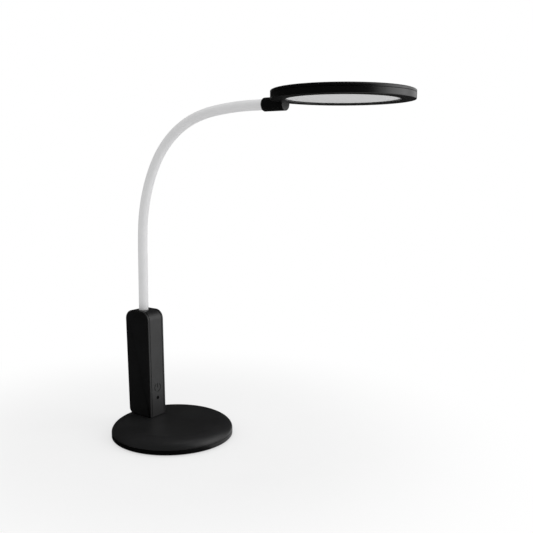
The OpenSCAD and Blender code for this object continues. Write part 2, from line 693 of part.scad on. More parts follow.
module head_cover() color("#161617") at_head() difference() {
    union() {
        rotate_extrude() polygon(concat([[0, cover_under_z], [cover_lip_r - lip_wall, cover_under_z],
            [cover_lip_r - lip_wall, cover_lip_z], [cover_lip_r, cover_lip_z],
            [cover_lip_r, seam_z + seam_w / 2], [head_r, seam_z + seam_w / 2]],
            rim_curve(head_r, head_t, head_round, cover_rim_h - seam_w / 2), [[0, head_t]]));
        around(head_screw_count, head_screw_at, 30) translate([0, 0, plate_z + plate_t])
            cylinder(r = head_boss_r, h = cover_under_z - plate_z - plate_t + EPS);
    }
    around(head_screw_count, head_screw_at, 30) translate([0, 0, plate_z])
        cylinder(r = small_screw_r + press_clear, h = head_t - plate_z - cover_skin);
    barrel_space(seat_clear / 2);
}
module back_plate() color("silver") at_head() difference() {
    rotate_extrude() polygon([[0, plate_z], [hoop_r, plate_z], [hoop_r, lens_recess],
        [hoop_r + plate_hoop_t, lens_recess], [hoop_r + plate_hoop_t, plate_z], [plate_r, plate_z],
        [plate_r, plate_z + plate_t], [0, plate_z + plate_t]]);
    // notch that clears the bracket's leg when the barrel reaches far in
    translate([leg_x - seat_clear, -bracket_w / 2 - seat_clear, 0])
        cube([bracket_t + 2 * seat_clear, bracket_w + 2 * seat_clear, head_t]);
    around(head_screw_count, head_screw_at, 30) translate([0, 0, plate_z - CUT])
        cylinder(r = small_hole_r, h = plate_t + 2 * CUT);
}
module head_screws() color("silver") at_head() around(head_screw_count, head_screw_at, 30)
    translate([0, 0, plate_z]) rotate([180, 0, 0])
        screw(small_screw_r, head_screw_l, small_head_r, head_screw_head_t);
module optic_disc(z, t) at_head() translate([0, 0, z]) cylinder(r = optic_r, h = t);
module diffuser() color("whitesmoke") optic_disc(lens_recess, diffuser_t);
module light_guide() color("lightcyan") optic_disc(guide_z, guide_t);
module reflector() color("white") optic_disc(reflector_z, reflector_t);
module led_strip() color("ivory") at_head() translate([0, 0, lens_recess + led_clear]) difference() {
    cylinder(r = strip_r + strip_t, h = plate_z - lens_recess - 2 * led_clear);
    translate([0, 0, -CUT]) cylinder(r = strip_r, h = plate_z + 2 * CUT);
}
module leds() color("khaki") at_head() around(led_count, led_r)
    translate([0, -led_w / 2, guide_z + led_clear])
        cube([led_t - led_back_gap, led_w, guide_t - 2 * led_clear]);

base_cover();
base_tray();
ballast();
foot_pad();
base_screws();
stand();
stand_screws();
column_band();
column_cover_left();
column_cover_right();
column_screws();
indicator_window();
control_board();
board_parts();
touch_spring();
board_screws();
power_inlet();
inlet_pin();
neck_root();
neck_nut();
neck_washer();
neck_sleeve_root();
for (k = link_ids) link_core(k);
for (k = link_ids) link_sleeve(k);
neck_tip();
neck_sleeve_tip();
barrel();
barrel_screws();
head_bracket();
head_rim();
head_cover();
diffuser();
light_guide();
reflector();
led_strip();
leds();
back_plate();
head_screws();
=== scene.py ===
import json
import math

import bmesh
import bpy
from mathutils import Matrix, Vector


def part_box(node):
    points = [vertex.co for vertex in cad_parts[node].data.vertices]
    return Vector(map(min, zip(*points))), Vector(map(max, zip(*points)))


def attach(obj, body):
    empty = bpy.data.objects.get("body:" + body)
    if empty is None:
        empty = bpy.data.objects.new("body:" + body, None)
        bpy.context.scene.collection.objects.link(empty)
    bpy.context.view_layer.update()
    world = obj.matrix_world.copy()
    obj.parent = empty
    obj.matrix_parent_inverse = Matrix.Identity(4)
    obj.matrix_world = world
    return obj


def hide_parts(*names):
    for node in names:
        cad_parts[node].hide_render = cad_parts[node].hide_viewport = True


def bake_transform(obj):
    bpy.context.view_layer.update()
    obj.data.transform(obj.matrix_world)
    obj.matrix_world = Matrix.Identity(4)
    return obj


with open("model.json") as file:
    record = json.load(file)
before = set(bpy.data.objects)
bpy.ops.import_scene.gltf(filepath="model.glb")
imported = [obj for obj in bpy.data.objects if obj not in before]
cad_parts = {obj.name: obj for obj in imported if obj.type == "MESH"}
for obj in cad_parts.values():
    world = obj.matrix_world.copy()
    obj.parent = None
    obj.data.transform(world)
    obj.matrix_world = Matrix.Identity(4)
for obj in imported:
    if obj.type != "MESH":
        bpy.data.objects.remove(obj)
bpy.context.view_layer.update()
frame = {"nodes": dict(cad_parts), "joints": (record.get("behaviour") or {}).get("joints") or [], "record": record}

bl_info = {
    "name": "Gooseneck Desk Lamp",
    "version": (1, 0, 0),
    "blender": (4, 5, 0),
    "location": "3D View > Sidebar > Desk Lamp",
    "description": "Dresses the packed desk lamp with its housings, silicone neck, light head and finishes",
    "category": "Add Mesh",
}

X = Vector((1, 0, 0))
Y = Vector((0, 1, 0))
Z = Vector((0, 0, 1))
ORIGIN = Vector((0, 0, 0))
MM = 0.001
FULL_TURN = 2 * math.pi
RIGHT_ANGLE = math.pi / 2
LINKS = sum(name.startswith("neck_core_") for name in frame["nodes"])

# faces round a full turn
SHELL_STEPS = 256
DISC_STEPS = 192
BARREL_STEPS = 96
FLOOR_STEPS = 96
CURTAIN_STEPS = 64
ROD_STEPS = 64
SYMBOL_STEPS = 56
SMALL_STEPS = 48

# faces along a rounding
RIM_STEPS = 24
CORNER_STEPS = 16
EDGE_STEPS = 16
MOUTH_STEPS = 8
COVER_STEPS = 7
BEZEL_STEPS = 6
ARC_STEPS = 5
FINE_STEPS = 4
SOFT_STEPS = 3

# limits that say what counts as one point, as straight, as facing sideways and as a sharp edge
WELD = 0.002 * MM
NO_BEND = 1e-4
FACING = 0.9
SHARP = math.radians(35)
SOFTENED = math.radians(40)

# gaps and small sizes; a cutting tool stands out of the face that it cuts and goes through more than a wall
SEAM_GAP = 0.4 * MM
FIT_GAP = 0.2 * MM
CUT_OVER = 1 * MM
CUT_WALLS = 2
BLEND_INSET = 1 * MM
SLOT_HALF_X = 9.6 * MM
SLOT_HALF_Y = 11 * MM
SLOT_DROP = 22 * MM
SLOT_RISE = 4.8 * MM
THREAD_START = 2 * MM
LENS_EDGE = 0.15 * MM
LENS_FLANGE = 1 * MM
SOCKET_FLOOR = 2 * MM
PIN_HOLE_RADIUS = 1 * MM
BARREL_MOUTH_ROUND = 0.5 * MM
# the front face's line meets the foot this far in front of the CAD band, whose foot corner is rounded
FOOT_STEP = 0.025 * MM

# shares of the sizes that they multiply
ELLIPSE_EASE = 0.9
SYMBOL_BAR = 0.98
SCREW_HEAD_ROUND = 0.45
SCREW_TIP_ROUND = 0.25
SCREW_SOCKET = 0.5

# the studio, in metres and degrees
CAMERA_PLACE = Vector((0.74368, -0.80242, 0.404))
CAMERA_YAW = 35.39
CAMERA_PITCH = 7.68
CAMERA_ROLL = 0.33
CAMERA_LENS = 50
CAMERA_SENSOR = 36
CURTAIN_FROM = 66
CURTAIN_SWEEP = 286
CURTAIN_REACH = 0.7
CURTAIN_RISE = 2.4
ROOF_START = 0.12
CARPET_START = 0.0868
CARPET_LIFT = 0.5 * MM
FLOOR_DROP = 0.05 * MM


# ---------- sizes and colours ----------
def length(name, description, default):
    """A length in metres that a user can change."""
    return bpy.props.FloatProperty(name=name, description=description, default=default, min=0, precision=4,
                                   subtype="DISTANCE", unit="LENGTH")


def angle(name, description, degrees):
    """An angle, given in degrees."""
    return bpy.props.FloatProperty(name=name, description=description, default=math.radians(degrees),
                                   subtype="ANGLE", unit="ROTATION")


def count(name, description, default, least, most):
    """A number of faces."""
    return bpy.props.IntProperty(name=name, description=description, default=default, min=least, max=most)


def power(name, description, default):
    """The power of a lamp."""
    return bpy.props.FloatProperty(name=name, description=description, default=default, min=0,
                                   subtype="POWER", unit="POWER")


def share(name, description, default):
    """A share from 0 to 1."""
    return bpy.props.FloatProperty(name=name, description=description, default=default, min=0, max=1,
                                   subtype="FACTOR")


def colour(name, description, default):
    """A linear colour."""
    return bpy.props.FloatVectorProperty(name=name, description=description, default=default, size=3, min=0,
                                         max=1, subtype="COLOR")


class LampBaseSizes(bpy.types.PropertyGroup):
    """Sizes of the round base"""
    wall: length("Wall", "Wall of the base cover", 2.4 * MM)
    rim_run: length("Rim run", "How far the rounded rim runs in over the top", 24 * MM)
    seam_height: length("Seam height", "Height of the seam between cover and tray", 8 * MM)
    lip_gap: length("Lip gap", "Gap between the tray's lip and the cover's wall", 0.5 * MM)
    pad_round: length("Pad rounding", "Rounding of the foot pad's lower edge", 0.4 * MM)
    seam_round: length("Seam round", "Rounding of the two edges at the seam", 0.35 * MM)
    tray_chamfer: length("Tray chamfer", "Chamfer at the foot of the tray", 0.8 * MM)
    tray_floor: length("Tray floor", "Thickness of the tray's floor", 2 * MM)
    tray_lip: length("Tray lip", "Thickness of the tray's raised lip", 2 * MM)


class LampColumnSizes(bpy.types.PropertyGroup):
    """Sizes of the upright column"""
    depth: length("Depth", "Depth of the column at its foot", 45.5 * MM)
    front_lean: angle("Front lean", "Lean of the front face", 1.2)
    back_lean: angle("Back lean", "Lean of the back face", 1.9)
    top_corner: length("Top corner", "Radius of the two top corners", 14 * MM)
    foot_corner: length("Foot corner", "Radius of the lower back corner", 9 * MM)
    seam_gap: length("Seam gap", "Gap between the band and the side covers", 0.8 * MM)
    foot_gap: length("Foot gap", "Shadow gap between the column and the base", 0.8 * MM)
    cover_round: length("Cover rounding", "Rounding along the outer edges of the side covers", 1.8 * MM)
    edge_round: length("Edge rounding", "Rounding of the edges along the seams", 0.3 * MM)
    wall: length("Wall", "Wall of the housing", 2.2 * MM)
    neck_gap: length("Neck gap", "Gap round the neck where it enters the column", 0.2 * MM)
    rib: length("Rib", "How far a side cover's rib reaches into the band", 3.2 * MM)
    boss_width: length("Boss width", "Diameter of the screw bosses", 6.8 * MM)
    screw_width: length("Screw width", "Diameter of the column screws", 3 * MM)
    screw_head_width: length("Screw head width", "Diameter of their heads", 5.52 * MM)
    screw_head_height: length("Screw head height", "Height of their heads", 2 * MM)
    screw_sink: length("Screw sink", "Depth of the recesses for the heads", 2.4 * MM)
    lens_width: length("Lens width", "Diameter of the indicator window's lens", 5.2 * MM)
    lens_dome: length("Lens dome", "How far the lens domes", 0.12 * MM)
    lens_sink: length("Lens sink", "How far the lens lies behind the face", 0.35 * MM)
    inlet_flange: length("Inlet flange", "Width of the flange round the power inlet", 1 * MM)
    socket_width: length("Socket width", "Diameter of the power inlet's socket", 6.3 * MM)
    key_height: length("Key height", "Height of the touch key", 67 * MM)
    key_width: length("Key width", "Outer diameter of the power symbol", 13.5 * MM)
    key_line: length("Key line", "Line width of the power symbol", 1.2 * MM)
    key_depth: length("Key depth", "Depth of the power symbol", 0.9 * MM)
    key_gap: angle("Key gap", "Opening of the ring in the power symbol", 56)


class LampNeckSizes(bpy.types.PropertyGroup):
    """Sizes of the silicone-covered neck"""
    sleeve_wall: length("Sleeve wall", "Wall of the silicone sleeve", 1.4 * MM)
    sides: count("Sides", "Faces round the neck", 64, 16, 128)
    steps: count("Steps", "Rings in half a link", 12, 4, 32)
    end_steps: count("End steps", "Rings in the straight ends in the column and the barrel", 2, 1, 8)


class LampHeadSizes(bpy.types.PropertyGroup):
    """Sizes of the light head and its barrel"""
    wall: length("Wall", "Wall of the head", 1.8 * MM)
    bezel_width: length("Bezel width", "Width of the bezel round the diffuser", 18.5 * MM)
    bezel_round: length("Bezel rounding", "Rounding of the bezel's inner edge", 0.25 * MM)
    lower_round: length("Lower rounding", "Rounding of the head's lower edge", 0.8 * MM)
    cover_rim: length("Cover rim", "Height of the top cover's rim above the seam", 5 * MM)
    lip_height: length("Lip height", "How far the top cover's lip reaches below the seam", 2 * MM)
    lip_wall: length("Lip wall", "Wall of the top cover's lip", 1.6 * MM)
    lens_recess: length("Lens recess", "How far the diffuser lies above the bezel", 1.9 * MM)
    edge_run: length("Edge run", "How far the rounding runs in over the top", 11 * MM)
    edge_rise: length("Edge rise", "Height of that rounding", 2.8 * MM)
    edge_round: length("Edge rounding", "Rounding of the edges along the seam", 0.3 * MM)
    barrel_round: length("Barrel rounding", "Rounding at the neck end of the barrel", 1.6 * MM)
    barrel_edge: length("Barrel edge", "Chamfer at the far end of the barrel", 0.4 * MM)


class LampColours(bpy.types.PropertyGroup):
    """Colours of the finishes"""
    base_black: colour("Base black", "Black of the base's cover", (0.0145, 0.0145, 0.015))
    # the tray's black, far darker than the cover's: partly its own black, partly painted shade under the cover's
    # rim
    tray_black_and_shade: colour("Tray black", "Black of the base's tray", (0.0018, 0.0018, 0.002))
    band_black: colour("Band black", "Black of the column's middle band", (0.012, 0.012, 0.0125))
    # the side covers' black, about half the band's: partly their own black, partly painted shade on the column's
    # shaded sides
    cover_black_and_side_shade: colour("Cover black", "Black of the column's side covers", (0.006, 0.006, 0.0064))
    head_black: colour("Head black", "Black of the light head", (0.0028, 0.0028, 0.003))
    silicone_white: colour("Silicone white", "White of the neck's sleeve", (0.82, 0.82, 0.825))
    opal_white: colour("Opal white", "White of the diffuser", (0.86, 0.86, 0.86))
    foam_black: colour("Foam black", "Black of the foot pad", (0.013, 0.013, 0.013))
    steel_grey: colour("Steel grey", "Zinc-plated steel", (0.46, 0.47, 0.48))
    iron_grey: colour("Iron grey", "Cast iron ballast", (0.12, 0.12, 0.125))
    brass_yellow: colour("Brass yellow", "Plated contacts", (0.72, 0.52, 0.24))
    board_green: colour("Board green", "Solder mask of the control board", (0.015, 0.09, 0.04))
    plate_grey: colour("Plate grey", "Aluminium back plate", (0.62, 0.63, 0.64))
    phosphor_yellow: colour("Phosphor yellow", "Phosphor of the light-emitting diodes", (0.8, 0.62, 0.12))


class LampStage(bpy.types.PropertyGroup):
    """Levels of the studio light"""
    air: share("Air", "Level of the even light from all round", 0.67)
    floor_glow: share("Floor glow", "How much of the floor's white is its own close to the lamp", 0.55)
    shadow_reach: length("Shadow reach", "Distance from the lamp at which the floor is plain white", 0.55)
    curtain_grey: colour("Curtain grey", "Level of the dark curtain", (0.02, 0.02, 0.02))
    floor_reach: length("Floor reach", "Radius of the floor", 12)
    right_power: power("Right box", "Power of the soft box on the right", 7)
    top_power: power("Top box", "Power of the soft box overhead", 7)


# ---------- materials ----------
class Wire:
    """A socket's value in a material, on which Python's arithmetic adds Math nodes."""

    def __init__(self, nodes, socket):
        self.nodes = nodes
        self.socket = socket

    def math(self, operation, first, second):
        """Adds a Math node."""
        return self.nodes.node("ShaderNodeMath", {"operation": operation}, {0: first, 1: second})

    def __add__(self, other):
        return self.math("ADD", self, other)

    def __radd__(self, other):
        return self.math("ADD", other, self)

    def __sub__(self, other):
        return self.math("SUBTRACT", self, other)

    def __rsub__(self, other):
        return self.math("SUBTRACT", other, self)

    def __mul__(self, other):
        return self.math("MULTIPLY", self, other)

    def __rmul__(self, other):
        return self.math("MULTIPLY", other, self)

    def larger(self, other):
        """The larger of this value and another."""
        return self.math("MAXIMUM", self, other)


class NodeTree:
    """A shader's node tree under construction."""

    def __init__(self, owner):
        owner.use_nodes = True
        self.tree = owner.node_tree
        self.tree.nodes.clear()

    def node(self, kind, settings=None, values=None, output=0):
        """Adds a node, with its settings first and then the values or wires of its sockets."""
        node = self.tree.nodes.new(kind)
        for name, value in (settings or {}).items():
            setattr(node, name, value)
        for name, value in (values or {}).items():
            socket = node.inputs[name]
            if isinstance(value, Wire):
                self.tree.links.new(value.socket, socket)
            else:
                socket.default_value = value
        return Wire(self, node.outputs[output]) if len(node.outputs) else None


class Finish(NodeTree):
    """A procedural material under construction."""

    def __init__(self, name):
        self.material = bpy.data.materials.new(name)
        super().__init__(self.material)
        self.place = self.node("ShaderNodeTexCoord", output="Object")

    def noise(self, grain, detail=3, roughness=0.5, stretch=(1, 1, 1)):
        """Noise whose grains are about the given size in metres."""
        mapped = self.node("ShaderNodeMapping", None, {"Vector": self.place, "Scale": stretch})
        return self.node("ShaderNodeTexNoise", None,
                         {"Vector": mapped, "Scale": 1 / grain, "Detail": detail, "Roughness": roughness})

    def cells(self, grain, randomness=1):
        """Distance to the nearest point of a cell pattern."""
        return self.node("ShaderNodeTexVoronoi", None,
                         {"Vector": self.place, "Scale": 1 / grain, "Randomness": randomness})

    def tint(self, low, high, mask):
        """A colour between low and high, as the mask goes from 0 to 1, on the Mix node's colour sockets."""
        return self.node("ShaderNodeMix", {"data_type": "RGBA"}, {0: mask, 6: (*low, 1), 7: (*high, 1)},
                         output=2)

    def spread(self, mask, low, high):
        """A noise mask stretched so that low becomes 0 and high becomes 1."""
        return self.node("ShaderNodeMapRange", None, {"Value": mask, "From Min": low, "From Max": high})

    def end(self, shader):
        """Ends the material in a shader and returns it."""
        self.node("ShaderNodeOutputMaterial", None, {"Surface": shader})
        return self.material

    def surface(self, low, high, mask, roughness, relief=None, **sockets):
        """Ends the material in a Principled shader, coloured from low to high by the mask.

        The relief is its height, its strength and its distance in metres.
        """
        values = {"Base Color": self.tint(low, high, mask), "Roughness": roughness}
        values.update({name.replace("_", " "): value for name, value in sockets.items()})
        if relief:
            values["Normal"] = self.node("ShaderNodeBump", None,
                                         dict(zip(("Height", "Strength", "Distance"), relief)))
        return self.end(self.node("ShaderNodeBsdfPrincipled", None, values))


def scaled(tint, factor):
    """A colour made lighter or darker."""
    return tuple(min(1, factor * part) for part in tint)


def black_moulding(name, black, roughness, relief=0.035 * MM, gloss=0.5):
    """Fine spark-eroded black moulding, with faint clouds of polish and a few dull flecks."""
    finish = Finish(name)
    texture = finish.noise(0.35 * MM, detail=2)
    cloud = finish.spread(finish.noise(38 * MM, detail=4), 0.35, 0.68)
    fleck = finish.spread(finish.noise(1.6 * MM, detail=5, roughness=0.7), 0.66, 0.8)
    rough = roughness - 0.05 * cloud + 0.07 * texture + 0.05 * fleck
    return finish.surface(scaled(black, 0.86), scaled(black, 1.22), cloud * 0.7 + texture * 0.3, rough,
                          relief=(texture, 0.35, relief), Specular_IOR_Level=gloss)


def silicone(name, white):
    """Satin silicone with a faint bloom of dust."""
    finish = Finish(name)
    skin = finish.noise(0.5 * MM, detail=3)
    bloom = finish.spread(finish.noise(22 * MM, detail=4), 0.4, 0.7)
    speck = finish.spread(finish.noise(0.9 * MM, detail=6, roughness=0.75), 0.7, 0.8)
    rough = 0.44 + 0.08 * bloom + 0.06 * skin
    return finish.surface(white, scaled(white, 0.95), bloom * 0.6 + speck * 0.4, rough,
                          relief=(skin, 0.12, 0.03 * MM), Specular_IOR_Level=0.25)


def opal(name, white):
    """Frosted opal acrylic with a fine pearl grain."""
    finish = Finish(name)
    pearl = finish.noise(0.28 * MM, detail=2)
    haze = finish.spread(finish.noise(45 * MM, detail=3), 0.35, 0.7)
    return finish.surface(white, scaled(white, 0.965), haze * 0.6 + pearl * 0.4, 0.5 + 0.06 * pearl,
                          relief=(pearl, 0.2, 0.02 * MM), Specular_IOR_Level=0.35)


def foam(name, black):
    """Closed-cell foam with small open pores."""
    finish = Finish(name)
    pores = finish.cells(0.7 * MM)
    mottle = finish.noise(6 * MM, detail=4)
    return finish.surface(scaled(black, 0.6), scaled(black, 1.5), pores * 0.6 + mottle * 0.4,
                          0.86 + 0.1 * mottle, relief=(pores, 0.6, 0.15 * MM))


def plated_steel(name, grey, roughness, grain=(1, 1, 0.06)):
    """Zinc-plated or drawn steel with faint lines along its length."""
    finish = Finish(name)
    lines = finish.noise(0.4 * MM, detail=4, stretch=grain)
    bloom = finish.spread(finish.noise(9 * MM, detail=3), 0.35, 0.7)
    rough = roughness + 0.14 * lines + 0.06 * bloom
    return finish.surface(scaled(grey, 0.85), scaled(grey, 1.1), lines * 0.5 + bloom * 0.5, rough,
                          relief=(lines, 0.3, 0.02 * MM), Metallic=1.0)


def cast_iron(name, grey):
    """Cast iron with a sand-cast skin and darker pits."""
    finish = Finish(name)
    skin = finish.noise(1.1 * MM, detail=5, roughness=0.65)
    pits = finish.cells(3.2 * MM)
    rough = 0.58 + 0.2 * skin
    return finish.surface(scaled(grey, 0.55), scaled(grey, 1.25), skin * 0.7 + pits * 0.3, rough,
                          relief=(skin, 0.5, 0.2 * MM), Metallic=0.85)


def brass(name, yellow):
    """Plated brass contact."""
    finish = Finish(name)
    lines = finish.noise(0.25 * MM, detail=3, stretch=(0.1, 1, 1))
    return finish.surface(scaled(yellow, 0.86), scaled(yellow, 1.08), lines, 0.22 + 0.12 * lines,
                          relief=(lines, 0.2, 0.01 * MM), Metallic=1.0)


def solder_mask(name, green):
    """Green board with the faint relief of its tracks."""
    finish = Finish(name)
    tracks = finish.node("ShaderNodeTexBrick", None,
                         {"Vector": finish.place, "Scale": 1 / (9 * MM), "Mortar Size": 0.04}, output="Fac")
    cloth = finish.noise(0.8 * MM, detail=2)
    return finish.surface(green, scaled(green, 1.9), tracks * 0.7 + cloth * 0.2, 0.28 + 0.12 * cloth,
                          relief=(tracks, 0.4, 0.04 * MM))


def window_glass(name):
    """Polished black window."""
    finish = Finish(name)
    haze = finish.noise(2.5 * MM, detail=3)
    return finish.surface((0.0015, 0.0015, 0.002), (0.004, 0.004, 0.0045), haze, 0.4 + 0.08 * haze,
                          Specular_IOR_Level=0.04)


def white_film(name, white):
    """White reflecting film."""
    finish = Finish(name)
    grain = finish.noise(0.3 * MM, detail=2)
    return finish.surface(scaled(white, 0.95), white, grain, 0.5 + 0.1 * grain,
                          relief=(grain, 0.15, 0.01 * MM))


def acrylic(name):
    """Clear light guide with its printed dots."""
    finish = Finish(name)
    dots = finish.spread(finish.cells(1.2 * MM, randomness=0), 0.24, 0.3)
    return finish.surface((0.93, 0.95, 0.96), (0.8, 0.86, 0.88), dots, 0.16 - 0.08 * dots)


def phosphor(name, yellow):
    """Yellow phosphor in a white frame."""
    finish = Finish(name)
    grain = finish.noise(0.2 * MM, detail=2)
    return finish.surface(scaled(yellow, 0.85), yellow, grain, 0.35 + 0.1 * grain)


def make_finishes(colours):
    """One material for each slot of the record, and one more for the base's tray."""
    black, steel = colours.cover_black_and_side_shade, colours.steel_grey
    return {
        "base_shell": black_moulding("base_satin", colours.base_black, 0.38, relief=0.02 * MM, gloss=0.3),
        # this black also paints the shade that falls on the tray under the cover's rim
        "base_tray": black_moulding("tray_satin_and_shade", colours.tray_black_and_shade, 0.44, gloss=0.3),
        "column_band_black": black_moulding("band_satin", colours.band_black, 0.38),
        # this black also paints the shade on the column's sides; the inlet's and the inner parts' blacks are
        # scaled from it
        "column_side_black": black_moulding("cover_satin_and_side_shade", black, 0.42),
        "head_black": black_moulding("head_satin", colours.head_black, 0.3),
        "inlet_black": black_moulding("inlet_moulding", scaled(black, 0.8), 0.5),
        "parts_black": black_moulding("component_moulding", scaled(black, 2), 0.55),
        "window_dark": window_glass("window_polish"),
        "neck_silicone": silicone("neck_silicone_skin", colours.silicone_white),
        "diffuser_opal": opal("diffuser_frost", colours.opal_white),
        "foot_foam": foam("foot_foam_pad", colours.foam_black),
        "ballast_iron": cast_iron("ballast_casting", colours.iron_grey),
        "screw_steel": plated_steel("screw_zinc", steel, 0.28),
        "stand_steel": plated_steel("sheet_zinc", scaled(steel, 0.95), 0.36),
        "neck_steel": plated_steel("neck_wire", scaled(steel, 1.08), 0.3, grain=(1, 0.1, 1)),
        "plate_aluminium": plated_steel("plate_mill", colours.plate_grey, 0.4, grain=(0.05, 1, 1)),
        "contact_brass": brass("contact_plating", colours.brass_yellow),
        "board_green": solder_mask("board_mask", colours.board_green),
        "guide_acrylic": acrylic("guide_clear"),
        "reflector_white": white_film("reflector_film", (0.9, 0.9, 0.9)),
        "strip_white": white_film("strip_film", (0.86, 0.86, 0.83)),
        "led_phosphor": phosphor("diode_phosphor", colours.phosphor_yellow),
    }


finishes = {}


def finish_of(slot):
    """The material of a slot; all are made when the first is asked for."""
    if not finishes:
        finishes.update(make_finishes(bpy.context.scene.lamp_colours))
    return finishes[slot]


# ---------- modelling ----------
def arc_corner(outline, index, radius, steps):
    """Replaces one corner of an outline with an arc that touches both of its sides."""
    corner = Vector(outline[index])
    before = (Vector(outline[index - 1]) - corner).normalized()
    after = (Vector(outline[(index + 1) % len(outline)]) - corner).normalized()
    half = before.angle(after) / 2
    centre = corner + (before + after).normalized() * radius / math.sin(half)
    start = corner + before * radius / math.tan(half) - centre
    end = corner + after * radius / math.tan(half) - centre
    sweep = start.angle_signed(end)
    arc = [centre + Matrix.Rotation(-sweep * step / steps, 2) @ start for step in range(steps + 1)]
    return outline[:index] + [tuple(point) for point in arc] + outline[index + 1:]


def rounded(outline, radii, steps=ARC_STEPS):
    """Rounds the corners that radii names, from the last to the first."""
    for index in sorted(radii, reverse=True):
        outline = arc_corner(outline, index, radii[index], steps)
    return outline


def ellipse(radius, top, run, rise, steps):
    """Quarter of an ellipse from the side of a round rim up to its top."""
    turns = [RIGHT_ANGLE * step / steps for step in range(steps + 1)]
    return [(radius - run * (1 - math.cos(turn)), top - rise * (1 - math.sin(turn))) for turn in turns]


def disc_outline(radius, low, high):
    """Outline of a flat disc between two heights."""
    return [(0, low), (radius, low), (radius, high), (0, high)]


def turned(name, outline, steps, centre=ORIGIN, axis=Z):
    """A piece turned from radius and height pairs, closed where the outline doesn't meet the axis."""
    bm = bmesh.new()
    side = X if axis == Z else Z
    points = [centre + side * radius + axis * height for radius, height in outline]
    verts = [bm.verts.new(point) for point in points]
    edges = [bm.edges.new(pair) for pair in zip(verts, verts[1:])]
    if outline[0][0] > 0:
        edges.append(bm.edges.new((verts[-1], verts[0])))
    bmesh.ops.spin(bm, geom=verts + edges, cent=centre, axis=axis, angle=FULL_TURN, steps=steps,
                   use_merge=True)
    bmesh.ops.remove_doubles(bm, verts=bm.verts, dist=WELD)
    bmesh.ops.recalc_face_normals(bm, faces=bm.faces)
    return object_of(name, bm)


def extrude(bm, region, shift):
    """Extrudes a region of faces by a shift and returns what is new."""
    grown = bmesh.ops.extrude_face_region(bm, geom=region)["geom"]
    moved = [part for part in grown if isinstance(part, bmesh.types.BMVert)]
    bmesh.ops.translate(bm, verts=moved, vec=shift)
    return grown


def block(bm, low, high):
    """A box between two corners."""
    low, high = Vector(low), Vector(high)
    place = Matrix.Translation((low + high) / 2) @ Matrix.Diagonal((*(high - low), 1))
    bmesh.ops.create_cube(bm, size=1, matrix=place)


def rod(bm, start, end, radius, steps=ROD_STEPS):
    """A closed cylinder between two points."""
    start, end = Vector(start), Vector(end)
    along = end - start
    place = Matrix.Translation((start + end) / 2) @ along.to_track_quat("Z", "Y").to_matrix().to_4x4()
    bmesh.ops.create_cone(bm, cap_ends=True, segments=steps, radius1=radius, radius2=radius,
                          depth=along.length, matrix=place)


def drill(bm, mouth, outward, depth, radius, over=CUT_OVER):
    """A rod that cuts a round hole from its mouth to a depth."""
    mouth = Vector(mouth)
    rod(bm, mouth - outward * depth, mouth + outward * over, radius)


def object_of(name, bm):
    """Makes a finished bmesh an object."""
    mesh = bpy.data.meshes.new(name)
    bm.to_mesh(mesh)
    bm.free()
    piece = bpy.data.objects.new(name, mesh)
    bpy.context.scene.collection.objects.link(piece)
    return piece


def apply_modifiers(piece):
    """Makes what the modifiers show the piece's own mesh."""
    bpy.context.view_layer.update()
    shape = piece.evaluated_get(bpy.context.evaluated_depsgraph_get())
    mesh = bpy.data.meshes.new_from_object(shape)
    piece.modifiers.clear()
    piece.data = mesh


def combine(piece, shape, operation="DIFFERENCE"):
    """Takes the shape of a bmesh out of a piece, or adds it."""
    tool = object_of("tool", shape)
    modifier = piece.modifiers.new("combine", "BOOLEAN")
    modifier.operation = operation
    modifier.solver = "EXACT"
    modifier.object = tool
    apply_modifiers(piece)
    bpy.data.objects.remove(tool)


def soften(piece, width):
    """Rounds every sharp edge of a piece."""
    modifier = piece.modifiers.new("edges", "BEVEL")
    modifier.width = width
    modifier.segments = SOFT_STEPS
    modifier.limit_method = "ANGLE"
    modifier.angle_limit = SOFTENED
    apply_modifiers(piece)


def dress(piece, slot, body, *replaced, flat_faces=True, finish=None):
    """Shades a piece, gives it its finish and sets it on its body in place of CAD nodes."""
    piece.data.shade_smooth()
    piece.data.set_sharp_from_angle(angle=SHARP)
    if flat_faces:
        modifier = piece.modifiers.new("shading", "WEIGHTED_NORMAL")
        modifier.keep_sharp = True
        apply_modifiers(piece)
    piece.data.materials.clear()
    piece.data.materials.append(finish_of(finish or slot))
    if body:
        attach(piece, body)
    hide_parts(*replaced)


def middle_of(node):
    """Middle of a CAD node's box."""
    low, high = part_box(node)
    return (low + high) / 2


# ---------- base ----------
def make_base_cover(sizes):
    """Dished cover with its rounded rim and the slot for the stand."""
    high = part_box("base_cover")[1]
    wall = sizes.wall
    seam = sizes.seam_height + SEAM_GAP / 2
    rise = high.z - seam - sizes.seam_round
    inner = ellipse(high.x - wall, high.z - wall, sizes.rim_run - wall, rise - wall, RIM_STEPS // 2)
    outline = [(0, high.z - wall)] + inner[::-1] + [(high.x - wall, seam), (high.x, seam)]
    radii = {len(outline) - 1: ELLIPSE_EASE * sizes.seam_round}
    outline += ellipse(high.x, high.z, sizes.rim_run, rise, RIM_STEPS) + [(0, high.z)]
    cover = turned("base_cover_shell", rounded(outline, radii), SHELL_STEPS)
    combine(cover, foot_slot(high.z))
    dress(cover, "base_shell", "lamp_base", "base_cover")


def foot_slot(height):
    """Room for the stand where it passes through base and column."""
    bm = bmesh.new()
    block(bm, (neck_x() - SLOT_HALF_X, -SLOT_HALF_Y, height - SLOT_DROP),
          (neck_x() + SLOT_HALF_X, SLOT_HALF_Y, height + SLOT_RISE))
    return bm


